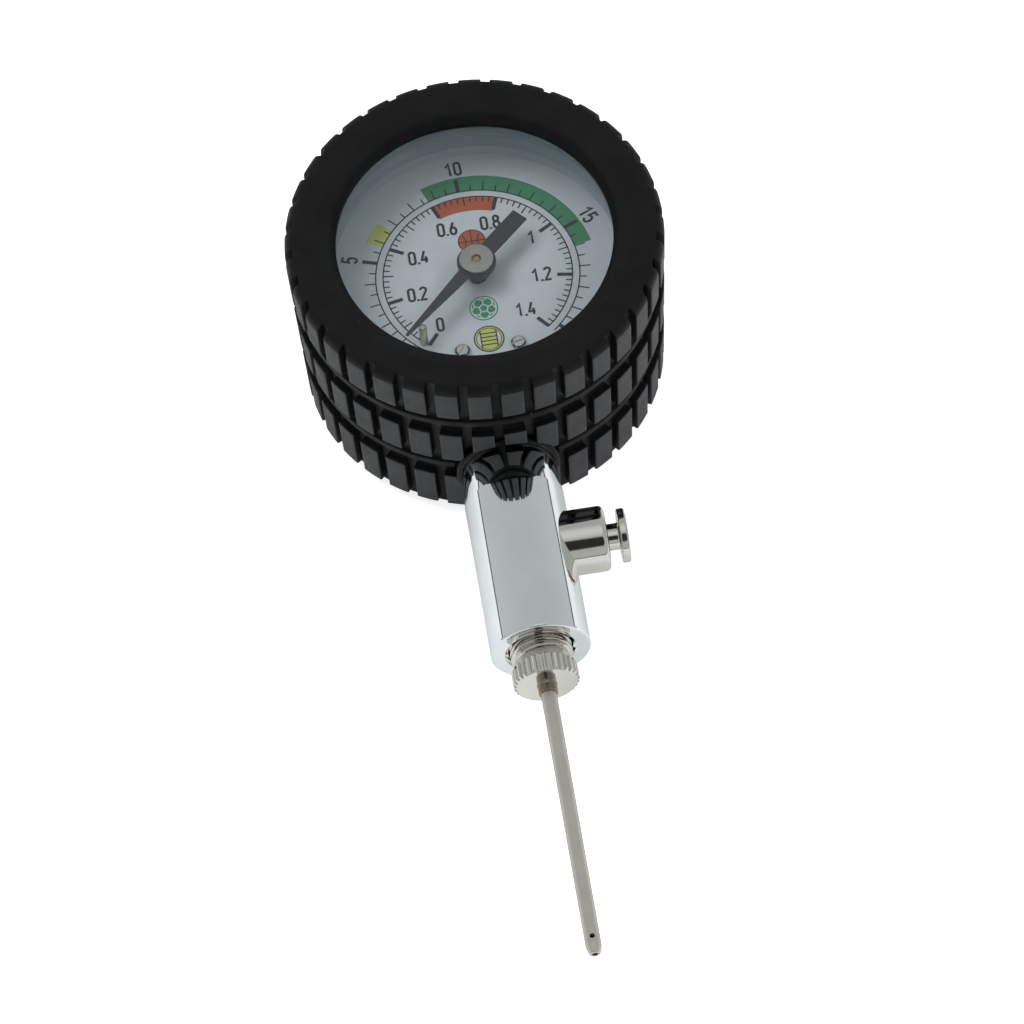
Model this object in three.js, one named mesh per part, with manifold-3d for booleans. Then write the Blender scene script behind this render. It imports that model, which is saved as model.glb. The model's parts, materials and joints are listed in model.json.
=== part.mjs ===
// Ball pressure gauge: a Bourdon dial gauge in a tread-pattern rubber boot, with a bleed valve
// and a screw-in inflation needle. Millimetres. +Z is the dial's normal, the origin is the centre
// of the boot's flat back, the needle points along -Y and the bleed button along +X.
import * as THREE from "three";
import * as BufferGeometryUtils from "three/addons/utils/BufferGeometryUtils.js";
import Module from "manifold-3d";

const wasm = await Module();
wasm.setup();

// Boot
const BOOT_DEPTH = 30;
const BOOT_R_FRONT = 24.2;
const BOOT_R_BACK = 23.2;
const BOOT_EDGE = 1.8;
const BOOT_BORE = 20.9;
const BOOT_BACK_OPENING = 18.4;
const BOOT_BACK_LIP = 1.8;
const TREAD_DEPTH = 1.1;
const TREAD_BLOCKS = 36;
const TREAD_SLOT = 1.3;
const TREAD_PHASE = -92;
const TREAD_ROWS = [[1.4, 8.4], [12.7, 18.7], [23.2, BOOT_DEPTH]];
const WINDOW_R = 17.6;
const WINDOW_RIM = 20.1;
const RIM_BEVEL = 1.2;
const RIM_BEVEL_STEP = [0.9, 0.35];
const TREAD_SLOT_TOP = 29.8;
const CHANNEL_RIB = { width: 1.4, crest: 0.9, height: 0.55 };
const BOOT_HOLE_CLEARANCE = 0.15;

// Case, dial and lens, as heights above the boot's back
const CASE_R = 20.6;
const CASE_WALL = 0.7;
const CASE_BACK = 2.1;
const CASE_PAD_R = 12;
const CASE_PAD_SLOPE = 0.5;
const CASE_FLOOR = 2.9;
const CASE_RIM = 24.9;
const DIAL_R = 19.1;
const DIAL_BACK = 19.3;
const DIAL_FACE = 19.8;
const SPACER_R = 19.2;
const LENS_BACK = 25.5;
const LENS_FACE = 27.5;
const LENS_R = 20.5;
const LENS_SEAT_GAP = 0.15;
const GASKET_R = 19.4;
const CONTACT_GAP = 0.05;

// Screws through the case, dial and movement, each pair mirrored about the stem
const CASE_SCREW = { x: 3.6, y: -16.6, holeR: 0.9, headR: 1.2, headH: 0.75, shankR: 0.75, length: 3.4 };
const DIAL_SCREW = { x: 3.6, y: -11.2, holeR: 0.7, headR: 1.0, headH: 0.6, shankR: 0.5, length: 4.2 };
const MOVEMENT_SCREW = {
  x: 3.2, y: -11.7, holeR: 0.65, headR: 1.15, headH: 0.7, shankR: 0.55, length: 2.4,
};
const SIDES = { left: -1, right: 1 };

// Pointer
const POINTER_Z = 22.9;
const POINTER_REST = 222.75;
const POINTER_FRONT = 14.1;
const POINTER_TAIL = 8.9;
const STOP_PIN_ANGLE = 227.3;
const STOP_PIN_RADIUS = 12.1;
const STOP_PIN_R = 0.5;
const STOP_PIN_SHANK_R = 0.36;
const STOP_PIN_TOP = 23.5;
const POINTER_THICK = 0.25;
const HUB_R = 2.5;
const HUB_BOSS_R = 1.7;
const HUB_BOSS_DEPTH = 2.2;
const BUSH_R = 2.2;
const BUSH_TOP = 23.75;
const BUSH_WALL_R = 0.92;
const BUSH_BORE = 0.5;

// Stem: distances from the dial's axis towards the needle
const STEM_Z = 9.5;
const BODY_R = 6.35;
const BODY_START = 21.6;
const GROMMET_R = 6.65;
const GROMMET_FACE = 22.3;
const GROMMET_CROWN = 0.7;
const NECK_R = 5.9;
const NECK_START = 23.3;
const NECK_END = 28.2;
const BODY_END = 50.3;
const BODY_CHAMFER = 0.4;
const SOCKET_STEM_R = 3.9;
const SOCKET_STEM_END = 30;
const NEEDLE_HOLE_R = 4.12;
const NEEDLE_HOLE_START = 42.6;
const NEEDLE_HOLE_MOUTH_R = 4.6;
const AIR_R = 1.2;
const SEAL_WASHER_R = 3.7;

// Needle
const THREAD_R = 3.95;
const THREAD_ROOT = 3.5;
const THREAD_PITCH = 0.794;
const THREAD_START = 44.2;
const THREAD_TURNS = 4;
const COLLAR_START = 52.7;
const COLLAR_END = 55.2;
const KNURL_R = 4.2;
const KNURL_TEETH = 30;
const NEEDLE_R = 1.0;
const NEEDLE_BORE = 0.42;
const NEEDLE_TIP = 93.4;
const NEEDLE_ROUNDING = [0.6, 1.2];
const NEEDLE_ROOT_R = 1.25;
const NEEDLE_ROOT_END = 56.5;
const NEEDLE_SPIGOT_R = 1.5;
const SIDE_HOLE_R = 0.34;
const SIDE_HOLE_SETBACK = 2.1;

// Bleed valve: distances from the body's axis towards the button
const BLEED_Y = -35.4;
const BARREL_R = 4.2;
const BARREL_START = 3.15;
const BARREL_END = 10.7;
const BUTTON_STEM_R = 1.72;
const BUTTON_R = 3.475;
const BUTTON_BACK = 12.25;
const BUTTON_FACE = 13.3;
const PLUNGER_PIN_R = 0.7;
const PLUNGER_PIN_START = 3.4;
const PLUNGER_SHOULDER_R = 2.1;
const PLUNGER_SHOULDER = 8.5;
const POPPET_CHAMBER_R = 2.3;
const POPPET_R = 1.7;

// Movement
const GEAR_MODULE = 0.2;
const PINION_TEETH = 10;
const SECTOR_TEETH = 80;
const ARBOR = [4.5, -7.794];
const TAIL_ARM = 5;
const TAIL_ANGLE = -18;
const TIP_PIVOT = [12, 1];
const BACK_PLATE_Z = [5, 6];
const FRONT_PLATE_Z = [12, 13];
const PILLARS = [[-5.5, -10.2], [6, 5], [7, -11.4]];
const TUBE_R = 16;
const TUBE_START = -111.5;
const TUBE_END = -352;
const TUBE_SECTION = [1.5, 5];
const TUBE_HOLLOW = [0.8, 4.2];
const GEAR_Z = [8.6, 9.4];
const SHAFT_R = 0.45;
const SHAFT_HOLE_R = 0.56;
const PILLAR_R = 0.95;
const TENON_R = 0.5;
const TENON_HOLE_R = 0.6;
const PLATE_MARGIN = 1.9;
const LINK_HALF_WIDTH = 0.9;
const LINK_Z = [9.6, 10.1];
const PIN_R = 0.36;
const HAIRSPRING_TURNS = 3;

const DEG = Math.PI / 180;
const polar = (r, deg) => [r * Math.cos(deg * DEG), r * Math.sin(deg * DEG)];
const TAIL_PIN = polar(TAIL_ARM, TAIL_ANGLE);
const PINION_PHASE = -60 + 180 / PINION_TEETH;
const TAIL_PIVOT = [ARBOR[0] + TAIL_PIN[0], ARBOR[1] + TAIL_PIN[1]];

// Solids ------------------------------------------------------------------

function solid(geometry) {
  const bare = geometry.index ? geometry.toNonIndexed() : geometry.clone();
  bare.deleteAttribute("normal");
  bare.deleteAttribute("uv");
  const merged = BufferGeometryUtils.mergeVertices(bare, 1e-5);
  const p = merged.attributes.position.array;
  const kept = [];
  let volume = 0;
  for (let i = 0; i < merged.index.count; i += 3) {
    const [a, b, c] = [0, 1, 2].map((k) => merged.index.array[i + k]);
    if (a === b || b === c || c === a) continue;
    kept.push(a, b, c);
    const [va, vb, vc] = [a, b, c].map((k) => new THREE.Vector3().fromArray(p, 3 * k));
    volume += va.dot(vb.cross(vc));
  }
  if (volume < 0) kept.reverse();
  const mesh = new wasm.Mesh({
    numProp: 3,
    vertProperties: new Float32Array(p),
    triVerts: new Uint32Array(kept),
  });
  return new wasm.Manifold(mesh);
}

function geometryOf(shape) {
  const mesh = shape.getMesh();
  const geometry = new THREE.BufferGeometry();
  geometry.setAttribute("position", new THREE.BufferAttribute(mesh.vertProperties, 3));
  geometry.setIndex(new THREE.BufferAttribute(mesh.triVerts, 1));
  return geometry;
}

// Number of facets round a rod: more as it gets thicker.
function facets(r) {
  if (r < 0.6) return 10;
  if (r < 1.3) return 14;
  if (r < 3) return 20;
  return 32;
}

// A cone or cylinder along +Z.
function rod(r0, z0, z1, segments = facets(r0), r1 = r0) {
  const g = new THREE.CylinderGeometry(r1, r0, z1 - z0, segments);
  return solid(g.rotateX(Math.PI / 2).translate(0, 0, (z0 + z1) / 2));
}

// A turned shape about Z from [radius, height] points that close on themselves or on the axis.
function turned(points, segments = 28) {
  const outline = points.map(([r, z]) => new THREE.Vector2(r, z));
  if (points[0][0] > 0) outline.push(outline[0].clone());
  return solid(new THREE.LatheGeometry(outline, segments).rotateX(Math.PI / 2));
}

function ring(rIn, rOut, z0, z1, segments = 28) {
  return turned([[rIn, z0], [rOut, z0], [rOut, z1], [rIn, z1]], segments);
}

function box(x0, x1, y0, y1, z0, z1) {
  const g = new THREE.BoxGeometry(x1 - x0, y1 - y0, z1 - z0);
  return solid(g.translate((x0 + x1) / 2, (y0 + y1) / 2, (z0 + z1) / 2));
}

// A flat plate of the given outline between two heights.
function plate(points, z0, z1) {
  const shape = new THREE.Shape(points.map(([x, y]) => new THREE.Vector2(x, y)));
  const g = new THREE.ExtrudeGeometry(shape, { depth: z1 - z0, bevelEnabled: false });
  return solid(g.translate(0, 0, z0));
}

function at(shape, x, y, z = 0) {
  return shape.translate([x, y, z]);
}

// A solid with rod-shaped holes through it between two heights, one at each place.
function drilled(shape, places, r, z0, z1) {
  return places.reduce((left, [x, y]) => left.subtract(at(rod(r, z0, z1), x, y)), shape);
}

// A stem piece, turned about +Z, laid along the stem.
function alongStem(shape) {
  return at(shape.rotate([90, 0, 0]), 0, 0, STEM_Z);
}

const pairOf = ({ x, y }) => [[-x, y], [x, y]];

// Convex outline round a set of circles of one radius.
function hullOutline(centres, r, steps = 12) {
  const points = [];
  for (const [x, y] of centres) {
    for (let i = 0; i < steps; i++) {
      const [dx, dy] = polar(r, (360 * i) / steps);
      points.push([x + dx, y + dy]);
    }
  }
  points.sort((a, b) => a[0] - b[0] || a[1] - b[1]);
  const turn = (o, a, b) => (a[0] - o[0]) * (b[1] - o[1]) - (a[1] - o[1]) * (b[0] - o[0]);
  const half = (list) => {
    const chain = [];
    for (const p of list) {
      while (chain.length > 1 && turn(chain.at(-2), chain.at(-1), p) < 1e-9) chain.pop();
      chain.push(p);
    }
    return chain.slice(0, -1);
  };
  return [...half(points), ...half([...points].reverse())];
}

// Boot ----------------------------------------------------------------------

function bootRadius(z) {
  return BOOT_R_BACK + ((BOOT_R_FRONT - BOOT_R_BACK) * z) / BOOT_DEPTH;
}

function rubberBoot() {
  const outer = [];
  for (const [z0, z1] of TREAD_ROWS) {
    const last = z1 === BOOT_DEPTH;
    outer.push([bootRadius(z0) - TREAD_DEPTH, z0], [bootRadius(z0), z0]);
    if (!last) outer.push([bootRadius(z1), z1], [bootRadius(z1) - TREAD_DEPTH, z1]);
  }
  for (const a of [0, 45, 90]) {
    outer.push([
      BOOT_R_FRONT - BOOT_EDGE * (1 - Math.cos(a * DEG)),
      BOOT_DEPTH - BOOT_EDGE * (1 - Math.sin(a * DEG)),
    ]);
  }
  const seat = LENS_FACE + LENS_SEAT_GAP;
  const profile = [
    [BOOT_BACK_OPENING, 0],
    [bootRadius(0) - TREAD_DEPTH, 0],
    ...outer,
    [WINDOW_RIM, BOOT_DEPTH],
    [WINDOW_R + RIM_BEVEL_STEP[0], BOOT_DEPTH - RIM_BEVEL_STEP[1]],
    [WINDOW_R, BOOT_DEPTH - RIM_BEVEL],
    [WINDOW_R, seat],
    [BOOT_BORE, seat],
    [BOOT_BORE, BOOT_BACK_LIP],
    [BOOT_BACK_OPENING, BOOT_BACK_LIP],
  ];
  const boot = turned(profile, TREAD_BLOCKS).rotate([0, 0, TREAD_PHASE]);
  const holeR = GROMMET_R + BOOT_HOLE_CLEARANCE;
  const stemHole = alongStem(rod(holeR, BOOT_BORE - 3, BOOT_R_FRONT + 1, 40));
  return boot.subtract(treadSlots()).add(channelRibs()).subtract(stemHole);
}

// The low unbroken rib along the middle of each channel between two tread rows.
function channelRibs() {
  const { width, crest, height } = CHANNEL_RIB;
  const ribs = [];
  for (let i = 0; i + 1 < TREAD_ROWS.length; i++) {
    const middle = (TREAD_ROWS[i][1] + TREAD_ROWS[i + 1][0]) / 2;
    const floor = bootRadius(middle) - TREAD_DEPTH;
    ribs.push(turned([
      [floor - 0.5, middle - width / 2],
      [floor, middle - width / 2],
      [floor + height, middle - crest / 2],
      [floor + height, middle + crest / 2],
      [floor, middle + width / 2],
      [floor - 0.5, middle + width / 2],
    ], TREAD_BLOCKS).rotate([0, 0, TREAD_PHASE]));
  }
  return wasm.Manifold.union(ribs);
}

// The slots across the tread, cut as deep as the channels between its rows.
function treadSlots() {
  const slots = [];
  for (let i = 0; i < TREAD_BLOCKS; i++) {
    const half = TREAD_SLOT / 2;
    const slot = box(BOOT_R_BACK - TREAD_DEPTH, BOOT_R_FRONT + 1, -half, half, -1, TREAD_SLOT_TOP);
    slots.push(slot.rotate([0, 0, TREAD_PHASE + (360 * i) / TREAD_BLOCKS]));
  }
  const inside = BOOT_BORE - 0.1;
  const core = turned([
    [inside, -2],
    [bootRadius(0) - TREAD_DEPTH, -2],
    [BOOT_R_FRONT - TREAD_DEPTH, BOOT_DEPTH + 2],
    [inside, BOOT_DEPTH + 2],
  ], TREAD_BLOCKS).rotate([0, 0, TREAD_PHASE]);
  return wasm.Manifold.union(slots).subtract(core);
}

// Case, dial and lens -------------------------------------------------------

// A cup whose back carries a round pad, level with the back of the boot.
function gaugeCase() {
  const inner = CASE_R - CASE_WALL;
  const cup = turned([
    [0, 0],
    [CASE_PAD_R, 0],
    [CASE_PAD_R + CASE_PAD_SLOPE, CASE_BACK],
    [CASE_R - 0.8, CASE_BACK],
    [CASE_R, CASE_BACK + 0.8],
    [CASE_R, CASE_RIM],
    [inner, CASE_RIM],
    [inner, CASE_FLOOR + 0.4],
    [inner - 0.4, CASE_FLOOR],
    [0, CASE_FLOOR],
  ], 48);
  const stemHole = alongStem(rod(SOCKET_STEM_R + 0.3, CASE_R - 2.6, CASE_R + 2.4));
  return drilled(cup.subtract(stemHole), pairOf(CASE_SCREW), CASE_SCREW.holeR, 1, 4);
}

function dialPlate() {
  const [low, high] = [DIAL_BACK - 1, DIAL_FACE + 1];
  const disc = drilled(rod(DIAL_R, DIAL_BACK, DIAL_FACE, 48), [[0, 0]], 1.3, low, high);
  const screwed = drilled(disc, pairOf(DIAL_SCREW), DIAL_SCREW.holeR, low, high);
  const pinHole = [polar(STOP_PIN_RADIUS, STOP_PIN_ANGLE)];
  return drilled(screwed, pinHole, STOP_PIN_SHANK_R + 0.06, low, high);
}

function spacerRing() {
  const bottom = DIAL_FACE + CONTACT_GAP;
  return ring(SPACER_R, CASE_R - CASE_WALL - CONTACT_GAP, bottom, CASE_RIM, 48);
}

function lensGasket() {
  return ring(GASKET_R, LENS_R, CASE_RIM + CONTACT_GAP, LENS_BACK - CONTACT_GAP, 48);
}

// A slotted screw standing on +Z, with the underside of its head at z.
function screw({ headR, headH, shankR, length }, z) {
  const slotted = rod(headR, z, z + headH, 24, headR * 0.8).subtract(
    box(-headR, headR, -0.12 * headR, 0.12 * headR, z + 0.6 * headH, z + headH + 1),
  );
  return slotted.add(rod(shankR, z - length, z + 0.1));
}

function stopPin() {
  const round = 0.2;
  const pin = rod(STOP_PIN_R, DIAL_FACE + CONTACT_GAP, STOP_PIN_TOP - round);
  const end = rod(STOP_PIN_R, STOP_PIN_TOP - round, STOP_PIN_TOP, 20, STOP_PIN_R - round);
  return pin.add(end).add(rod(STOP_PIN_SHANK_R, DIAL_BACK - 0.5, DIAL_FACE + 0.2));
}

// Pointer -------------------------------------------------------------------

function pointerBlade() {
  const outline = [
    [POINTER_FRONT, -0.22],
    [POINTER_FRONT, 0.22],
    [1.8, 0.95],
    [1.2, 1.12],
    [-POINTER_TAIL, 1.12],
    [-POINTER_TAIL, -1.12],
    [1.2, -1.12],
    [1.8, -0.95],
  ];
  const blade = plate(outline, POINTER_Z, POINTER_Z + POINTER_THICK);
  const disc = rod(HUB_R, POINTER_Z - 0.35, POINTER_Z + 0.3, 40);
  const boss = rod(HUB_BOSS_R, POINTER_Z - HUB_BOSS_DEPTH, POINTER_Z - 0.3);
  const hub = blade.add(disc).add(boss);
  const bored = drilled(hub, [[0, 0]], BUSH_WALL_R + 0.08, POINTER_Z - 3, POINTER_Z + 1);
  return bored.rotate([0, 0, POINTER_REST]);
}

function pointerBush() {
  const [bottom, flange] = [POINTER_Z - HUB_BOSS_DEPTH, POINTER_Z + 0.35];
  return turned([
    [BUSH_BORE, bottom],
    [BUSH_WALL_R, bottom],
    [BUSH_WALL_R, flange],
    [BUSH_R, flange],
    [BUSH_R, BUSH_TOP - 0.12],
    [BUSH_R - 0.15, BUSH_TOP],
    [BUSH_BORE, BUSH_TOP],
  ], 28);
}

// Movement ------------------------------------------------------------------

// Outline of one side of a spur tooth as [radius, half angle] points, with backlash taken off.
function toothSide(teeth, tipR, rootR) {
  const pitchR = (GEAR_MODULE * teeth) / 2;
  const baseR = pitchR * Math.cos(20 * DEG);
  const involute = (r) => {
    const t = Math.sqrt(Math.max((r / baseR) ** 2 - 1, 0));
    return t - Math.atan(t);
  };
  const halfAtPitch = (0.41 * Math.PI) / teeth;
  const side = [[rootR, halfAtPitch + involute(pitchR)]];
  for (let i = 0; i <= 3; i++) {
    const r = Math.max(rootR, baseR) + ((tipR - Math.max(rootR, baseR)) * i) / 3;
    side.push([r, halfAtPitch + involute(pitchR) - involute(r)]);
  }
  return side;
}

// Toothed outline from tooth number first to last, as angles about the gear's centre.
function toothedOutline(teeth, centreAngle, first, last) {
  const pitchR = (GEAR_MODULE * teeth) / 2;
  const tipR = pitchR + 0.7 * GEAR_MODULE;
  const rootR = pitchR - 1.1 * GEAR_MODULE;
  const side = toothSide(teeth, tipR, rootR);
  const points = [];
  for (let k = first; k <= last; k++) {
    const middle = centreAngle * DEG + (2 * Math.PI * k) / teeth;
    for (const [r, half] of side) {
      points.push([r * Math.cos(middle - half), r * Math.sin(middle - half)]);
    }
    for (const [r, half] of [...side].reverse()) {
      points.push([r * Math.cos(middle + half), r * Math.sin(middle + half)]);
    }
  }
  return points;
}

function pinionShaft() {
  const gear = plate(toothedOutline(PINION_TEETH, PINION_PHASE, 0, PINION_TEETH - 1), 7.8, 10);
  const shaft = rod(SHAFT_R, BACK_PLATE_Z[0] - 0.7, POINTER_Z + 0.6);
  const shoulders = rod(0.7, BACK_PLATE_Z[1] + 0.15, 7.9).add(rod(0.7, 9.9, FRONT_PLATE_Z[0] - 0.15));
  return gear.add(shoulders).add(shaft);
}

function sectorGear() {
  const teeth = toothedOutline(SECTOR_TEETH, 120, -9, 1);
  const blade = plate([...teeth, polar(1.6, 200), polar(1.6, 0)], ...GEAR_Z);
  const tail = plate(hullOutline([[0, 0], TAIL_PIN], LINK_HALF_WIDTH), ...GEAR_Z);
  const shaft = rod(SHAFT_R, BACK_PLATE_Z[0] - 0.4, FRONT_PLATE_Z[1] + 0.4);
  const shoulders = rod(0.8, BACK_PLATE_Z[1] + 0.15, FRONT_PLATE_Z[0] - 0.15);
  const boss = rod(1.6, GEAR_Z[0] - 0.2, GEAR_Z[1] + 0.2);
  const body = drilled(blade.add(tail).add(boss), [TAIL_PIN], PIN_R + 0.06, 8, 10);
  return at(body.add(shaft).add(shoulders), ...ARBOR);
}

function tailPin() {
  const pin = rod(PIN_R, GEAR_Z[0] - 0.2, LINK_Z[1] + 0.4);
  const head = rod(0.6, GEAR_Z[0] - 0.5, GEAR_Z[0] - 0.1);
  return at(pin.add(head), ...TAIL_PIVOT);
}

// The bar's upper hole is wide enough for the arc its end makes against the tube's.
function linkBar() {
  const bar = plate(hullOutline([TAIL_PIVOT, TIP_PIVOT], LINK_HALF_WIDTH), ...LINK_Z);
  const lower = drilled(bar, [TAIL_PIVOT], PIN_R + 0.1, 9, 11);
  return drilled(lower, [TIP_PIVOT], PIN_R + 0.26, 9, 11);
}

// End cap of the tube, with the arm that carries the link's upper pin.
function tubeTip() {
  const turnedBy = TUBE_END + 360 - 1.4;
  const block = box(-1.3, 1.3, -1.2, 0.25, 6.7, 12.3).rotate([0, 0, turnedBy]);
  const cap = at(block, ...polar(TUBE_R, turnedBy));
  const arm = plate(hullOutline([TIP_PIVOT, [14.9, 1.2]], LINK_HALF_WIDTH), 10.5, 11.3);
  return cap.add(arm).add(at(rod(PIN_R, 9.3, 10.6), ...TIP_PIVOT));
}

// Flattened tube bent to a C, with its hollow left open at both ends.
function bourdonTube() {
  const start = TUBE_START * DEG;
  const end = (TUBE_END + 1.0) * DEG;
  const wall = ([w, h], a0, a1) => {
    const steps = 20;
    const shape = new THREE.Shape();
    const side = (h - w) / 2;
    shape.absarc(0, side, w / 2, 0, Math.PI, false);
    shape.absarc(0, -side, w / 2, Math.PI, 2 * Math.PI, false);
    const section = shape.getPoints(3);
    const points = [];
    for (let i = 0; i <= steps; i++) {
      const a = a0 + ((a1 - a0) * i) / steps;
      points.push(section.map((p) => new THREE.Vector3(
        (TUBE_R + p.x) * Math.cos(a),
        (TUBE_R + p.x) * Math.sin(a),
        STEM_Z + p.y,
      )));
    }
    return sweep(points);
  };
  const wallEnd = 0.02;
  const hollow = wall(TUBE_HOLLOW, start + wallEnd, end - wallEnd);
  return wall(TUBE_SECTION, start, end).subtract(hollow);
}

// Closed solid through a list of matching closed sections, with flat ends.
function sweep(sections) {
  const n = sections[0].length - 1;
  const position = [];
  const add = (...p) => p.forEach((v) => position.push(v.x, v.y, v.z));
  const cap = (s, flip) => {
    for (let j = 1; j < n - 1; j++) {
      if (flip) add(s[0], s[j + 1], s[j]);
      else add(s[0], s[j], s[j + 1]);
    }
  };
  for (let i = 0; i + 1 < sections.length; i++) {
    const [a, b] = [sections[i], sections[i + 1]];
    for (let j = 0; j < n; j++) {
      const k = (j + 1) % n;
      add(a[j], b[j], b[k], a[j], b[k], a[k]);
    }
  }
  cap(sections[0], false);
  cap(sections.at(-1), true);
  const g = new THREE.BufferGeometry();
  g.setAttribute("position", new THREE.Float32BufferAttribute(position, 3));
  return solid(g);
}

// Flat wire along a curve given as a function of 0..1, w wide across the curve and h high.
function flatWire(curve, steps, w, h) {
  const sections = [];
  for (let i = 0; i <= steps; i++) {
    const p = curve(i / steps);
    const ahead = curve(i / steps + 1e-4);
    const side = new THREE.Vector3(ahead.y - p.y, p.x - ahead.x, 0).normalize();
    const corner = (u, v) => p.clone().addScaledVector(side, (u * w) / 2).add(
      new THREE.Vector3(0, 0, (v * h) / 2),
    );
    sections.push([corner(-1, -1), corner(1, -1), corner(1, 1), corner(-1, 1), corner(-1, -1)]);
  }
  return sweep(sections);
}

function hairspring() {
  const [inner, growth, height] = [1.1, 2.6, 6.9];
  return flatWire((t) => {
    const [x, y] = polar(inner + growth * t, 360 * HAIRSPRING_TURNS * t);
    return new THREE.Vector3(x, y, height);
  }, 16 * HAIRSPRING_TURNS, 0.14, 0.4);
}

// A movement plate with its shaft and pillar holes, and the holes of one pair of screws.
function movementPlate([z0, z1], screws, screwHoleR) {
  const [low, high] = [z0 - 1, z1 + 1];
  const blank = plate(hullOutline([...PILLARS, [0, 0]], PLATE_MARGIN), z0, z1);
  const bored = drilled(blank, [[0, 0], ARBOR], SHAFT_HOLE_R, low, high);
  const pillared = drilled(bored, PILLARS, TENON_HOLE_R, low, high);
  return drilled(pillared, pairOf(screws), screwHoleR, low, high);
}

function pillar([x, y]) {
  const post = rod(PILLAR_R, BACK_PLATE_Z[1] + 0.02, FRONT_PLATE_Z[0] - 0.02);
  return at(post.add(rod(TENON_R, BACK_PLATE_Z[0] + 0.1, FRONT_PLATE_Z[1] + 0.2)), x, y);
}

function dialPost() {
  const post = rod(1, FRONT_PLATE_Z[1] + 0.02, DIAL_BACK - 0.02);
  const tenon = rod(TENON_R, FRONT_PLATE_Z[0] - 0.2, FRONT_PLATE_Z[1] + 0.1);
  return drilled(post.add(tenon), [[0, 0]], DIAL_SCREW.shankR + 0.12, 15, 20);
}

// Brass block that joins the tube to the stem, with the stem's air passage bored through.
function socketBlock() {
  const [halfWidth, top, bottom] = [5.5, 13.4, CASE_FLOOR + CONTACT_GAP];
  const [outer, step, inner] = [-18.6, -13.4, -10];
  const tall = box(-halfWidth, halfWidth, outer, step, bottom, top);
  const shelfTop = BACK_PLATE_Z[0] - CONTACT_GAP;
  const low = box(-halfWidth, halfWidth, step - 0.1, inner, bottom, shelfTop);
  const socket = alongStem(rod(SOCKET_STEM_R, 18.4, SOCKET_STEM_END));
  const inCase = rod(CASE_R - CASE_WALL - 0.1, 0, 20, 48);
  const block = tall.add(low).add(socket).intersect(inCase.add(socket));
  const passage = alongStem(rod(AIR_R, 15.5, 40));
  const toTube = at(rod(0.9, -0.3, 7).rotate([0, -90, 0]), 0, -15.7, STEM_Z);
  const bored = block.subtract(passage).subtract(toTube);
  const tapped = drilled(bored, pairOf(CASE_SCREW), CASE_SCREW.shankR + 0.1, 2, 6);
  return drilled(tapped, pairOf(MOVEMENT_SCREW), MOVEMENT_SCREW.shankR + 0.07, 3.4, 6);
}

// Stem pieces, turned about +Z as the distance from the dial's axis ------------

function valveBody() {
  const blank = turned([
    [0, BODY_START],
    [NECK_R, BODY_START],
    [NECK_R, NECK_START],
    [BODY_R, NECK_END],
    [BODY_R, BODY_END - BODY_CHAMFER],
    [BODY_R - BODY_CHAMFER, BODY_END],
    [0, BODY_END],
  ], 40);
  const mouth = rod(NEEDLE_HOLE_R, BODY_END - 0.45, BODY_END + CONTACT_GAP, 32, NEEDLE_HOLE_MOUTH_R);
  const bored = blank
    .subtract(rod(SOCKET_STEM_R + 0.12, BODY_START - 1, SOCKET_STEM_END + 0.3))
    .subtract(rod(AIR_R, SOCKET_STEM_END, NEEDLE_HOLE_START + 0.1))
    .subtract(rod(NEEDLE_HOLE_R, NEEDLE_HOLE_START, BODY_END + 1))
    .subtract(mouth);
  const acrossBody = (shape) => at(shape.rotate([0, 90, 0]), 0, 0, -BLEED_Y);
  return bored
    .subtract(acrossBody(rod(BARREL_R + 0.08, BARREL_START - 0.12, BODY_R + 1.65)))
    .subtract(acrossBody(rod(POPPET_CHAMBER_R, -0.6, BARREL_START)));
}

// Rubber ring that closes the boot's hole round the stem.
function stemGrommet() {
  const inner = NECK_R + CONTACT_GAP;
  return turned([
    [inner, BODY_START],
    [GROMMET_R, BODY_START],
    [GROMMET_R, GROMMET_FACE],
    [GROMMET_R - 0.35, GROMMET_FACE + 0.7 * GROMMET_CROWN],
    [inner + 0.25, GROMMET_FACE + GROMMET_CROWN],
    [inner, GROMMET_FACE + GROMMET_CROWN],
  ], 40);
}

function bodySeal() {
  return ring(2.0, SEAL_WASHER_R, SOCKET_STEM_END + CONTACT_GAP, SOCKET_STEM_END + 0.25);
}

function needleCollar() {
  const spigotStart = THREAD_START - 0.9;
  const profile = [
    [0, spigotStart],
    [NEEDLE_SPIGOT_R, spigotStart],
    [NEEDLE_SPIGOT_R, THREAD_START],
    [THREAD_ROOT, THREAD_START],
  ];
  for (let i = THREAD_TURNS; i > 0; i--) {
    const z = COLLAR_START - 0.1 - i * THREAD_PITCH;
    profile.push([THREAD_ROOT, z + 0.1], [THREAD_R, z + 0.32]);
    profile.push([THREAD_R, z + 0.48], [THREAD_ROOT, z + 0.7]);
  }
  profile.push([THREAD_ROOT, COLLAR_START + 0.1], [0, COLLAR_START + 0.1]);
  const knurl = [];
  for (let i = 0; i < KNURL_TEETH; i++) {
    const a = (360 * i) / KNURL_TEETH;
    const quarter = 90 / KNURL_TEETH;
    knurl.push(polar(KNURL_R - 0.3, a - 1.4 * quarter), polar(KNURL_R, a - 0.5 * quarter));
    knurl.push(polar(KNURL_R, a + 0.5 * quarter), polar(KNURL_R - 0.3, a + 1.4 * quarter));
  }
  const root = rod(NEEDLE_ROOT_R, COLLAR_END - 0.1, NEEDLE_ROOT_END);
  const shape = turned(profile, 24).add(plate(knurl, COLLAR_START, COLLAR_END)).add(root);
  return shape.subtract(rod(NEEDLE_R + 0.06, 40, 60));
}

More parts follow.
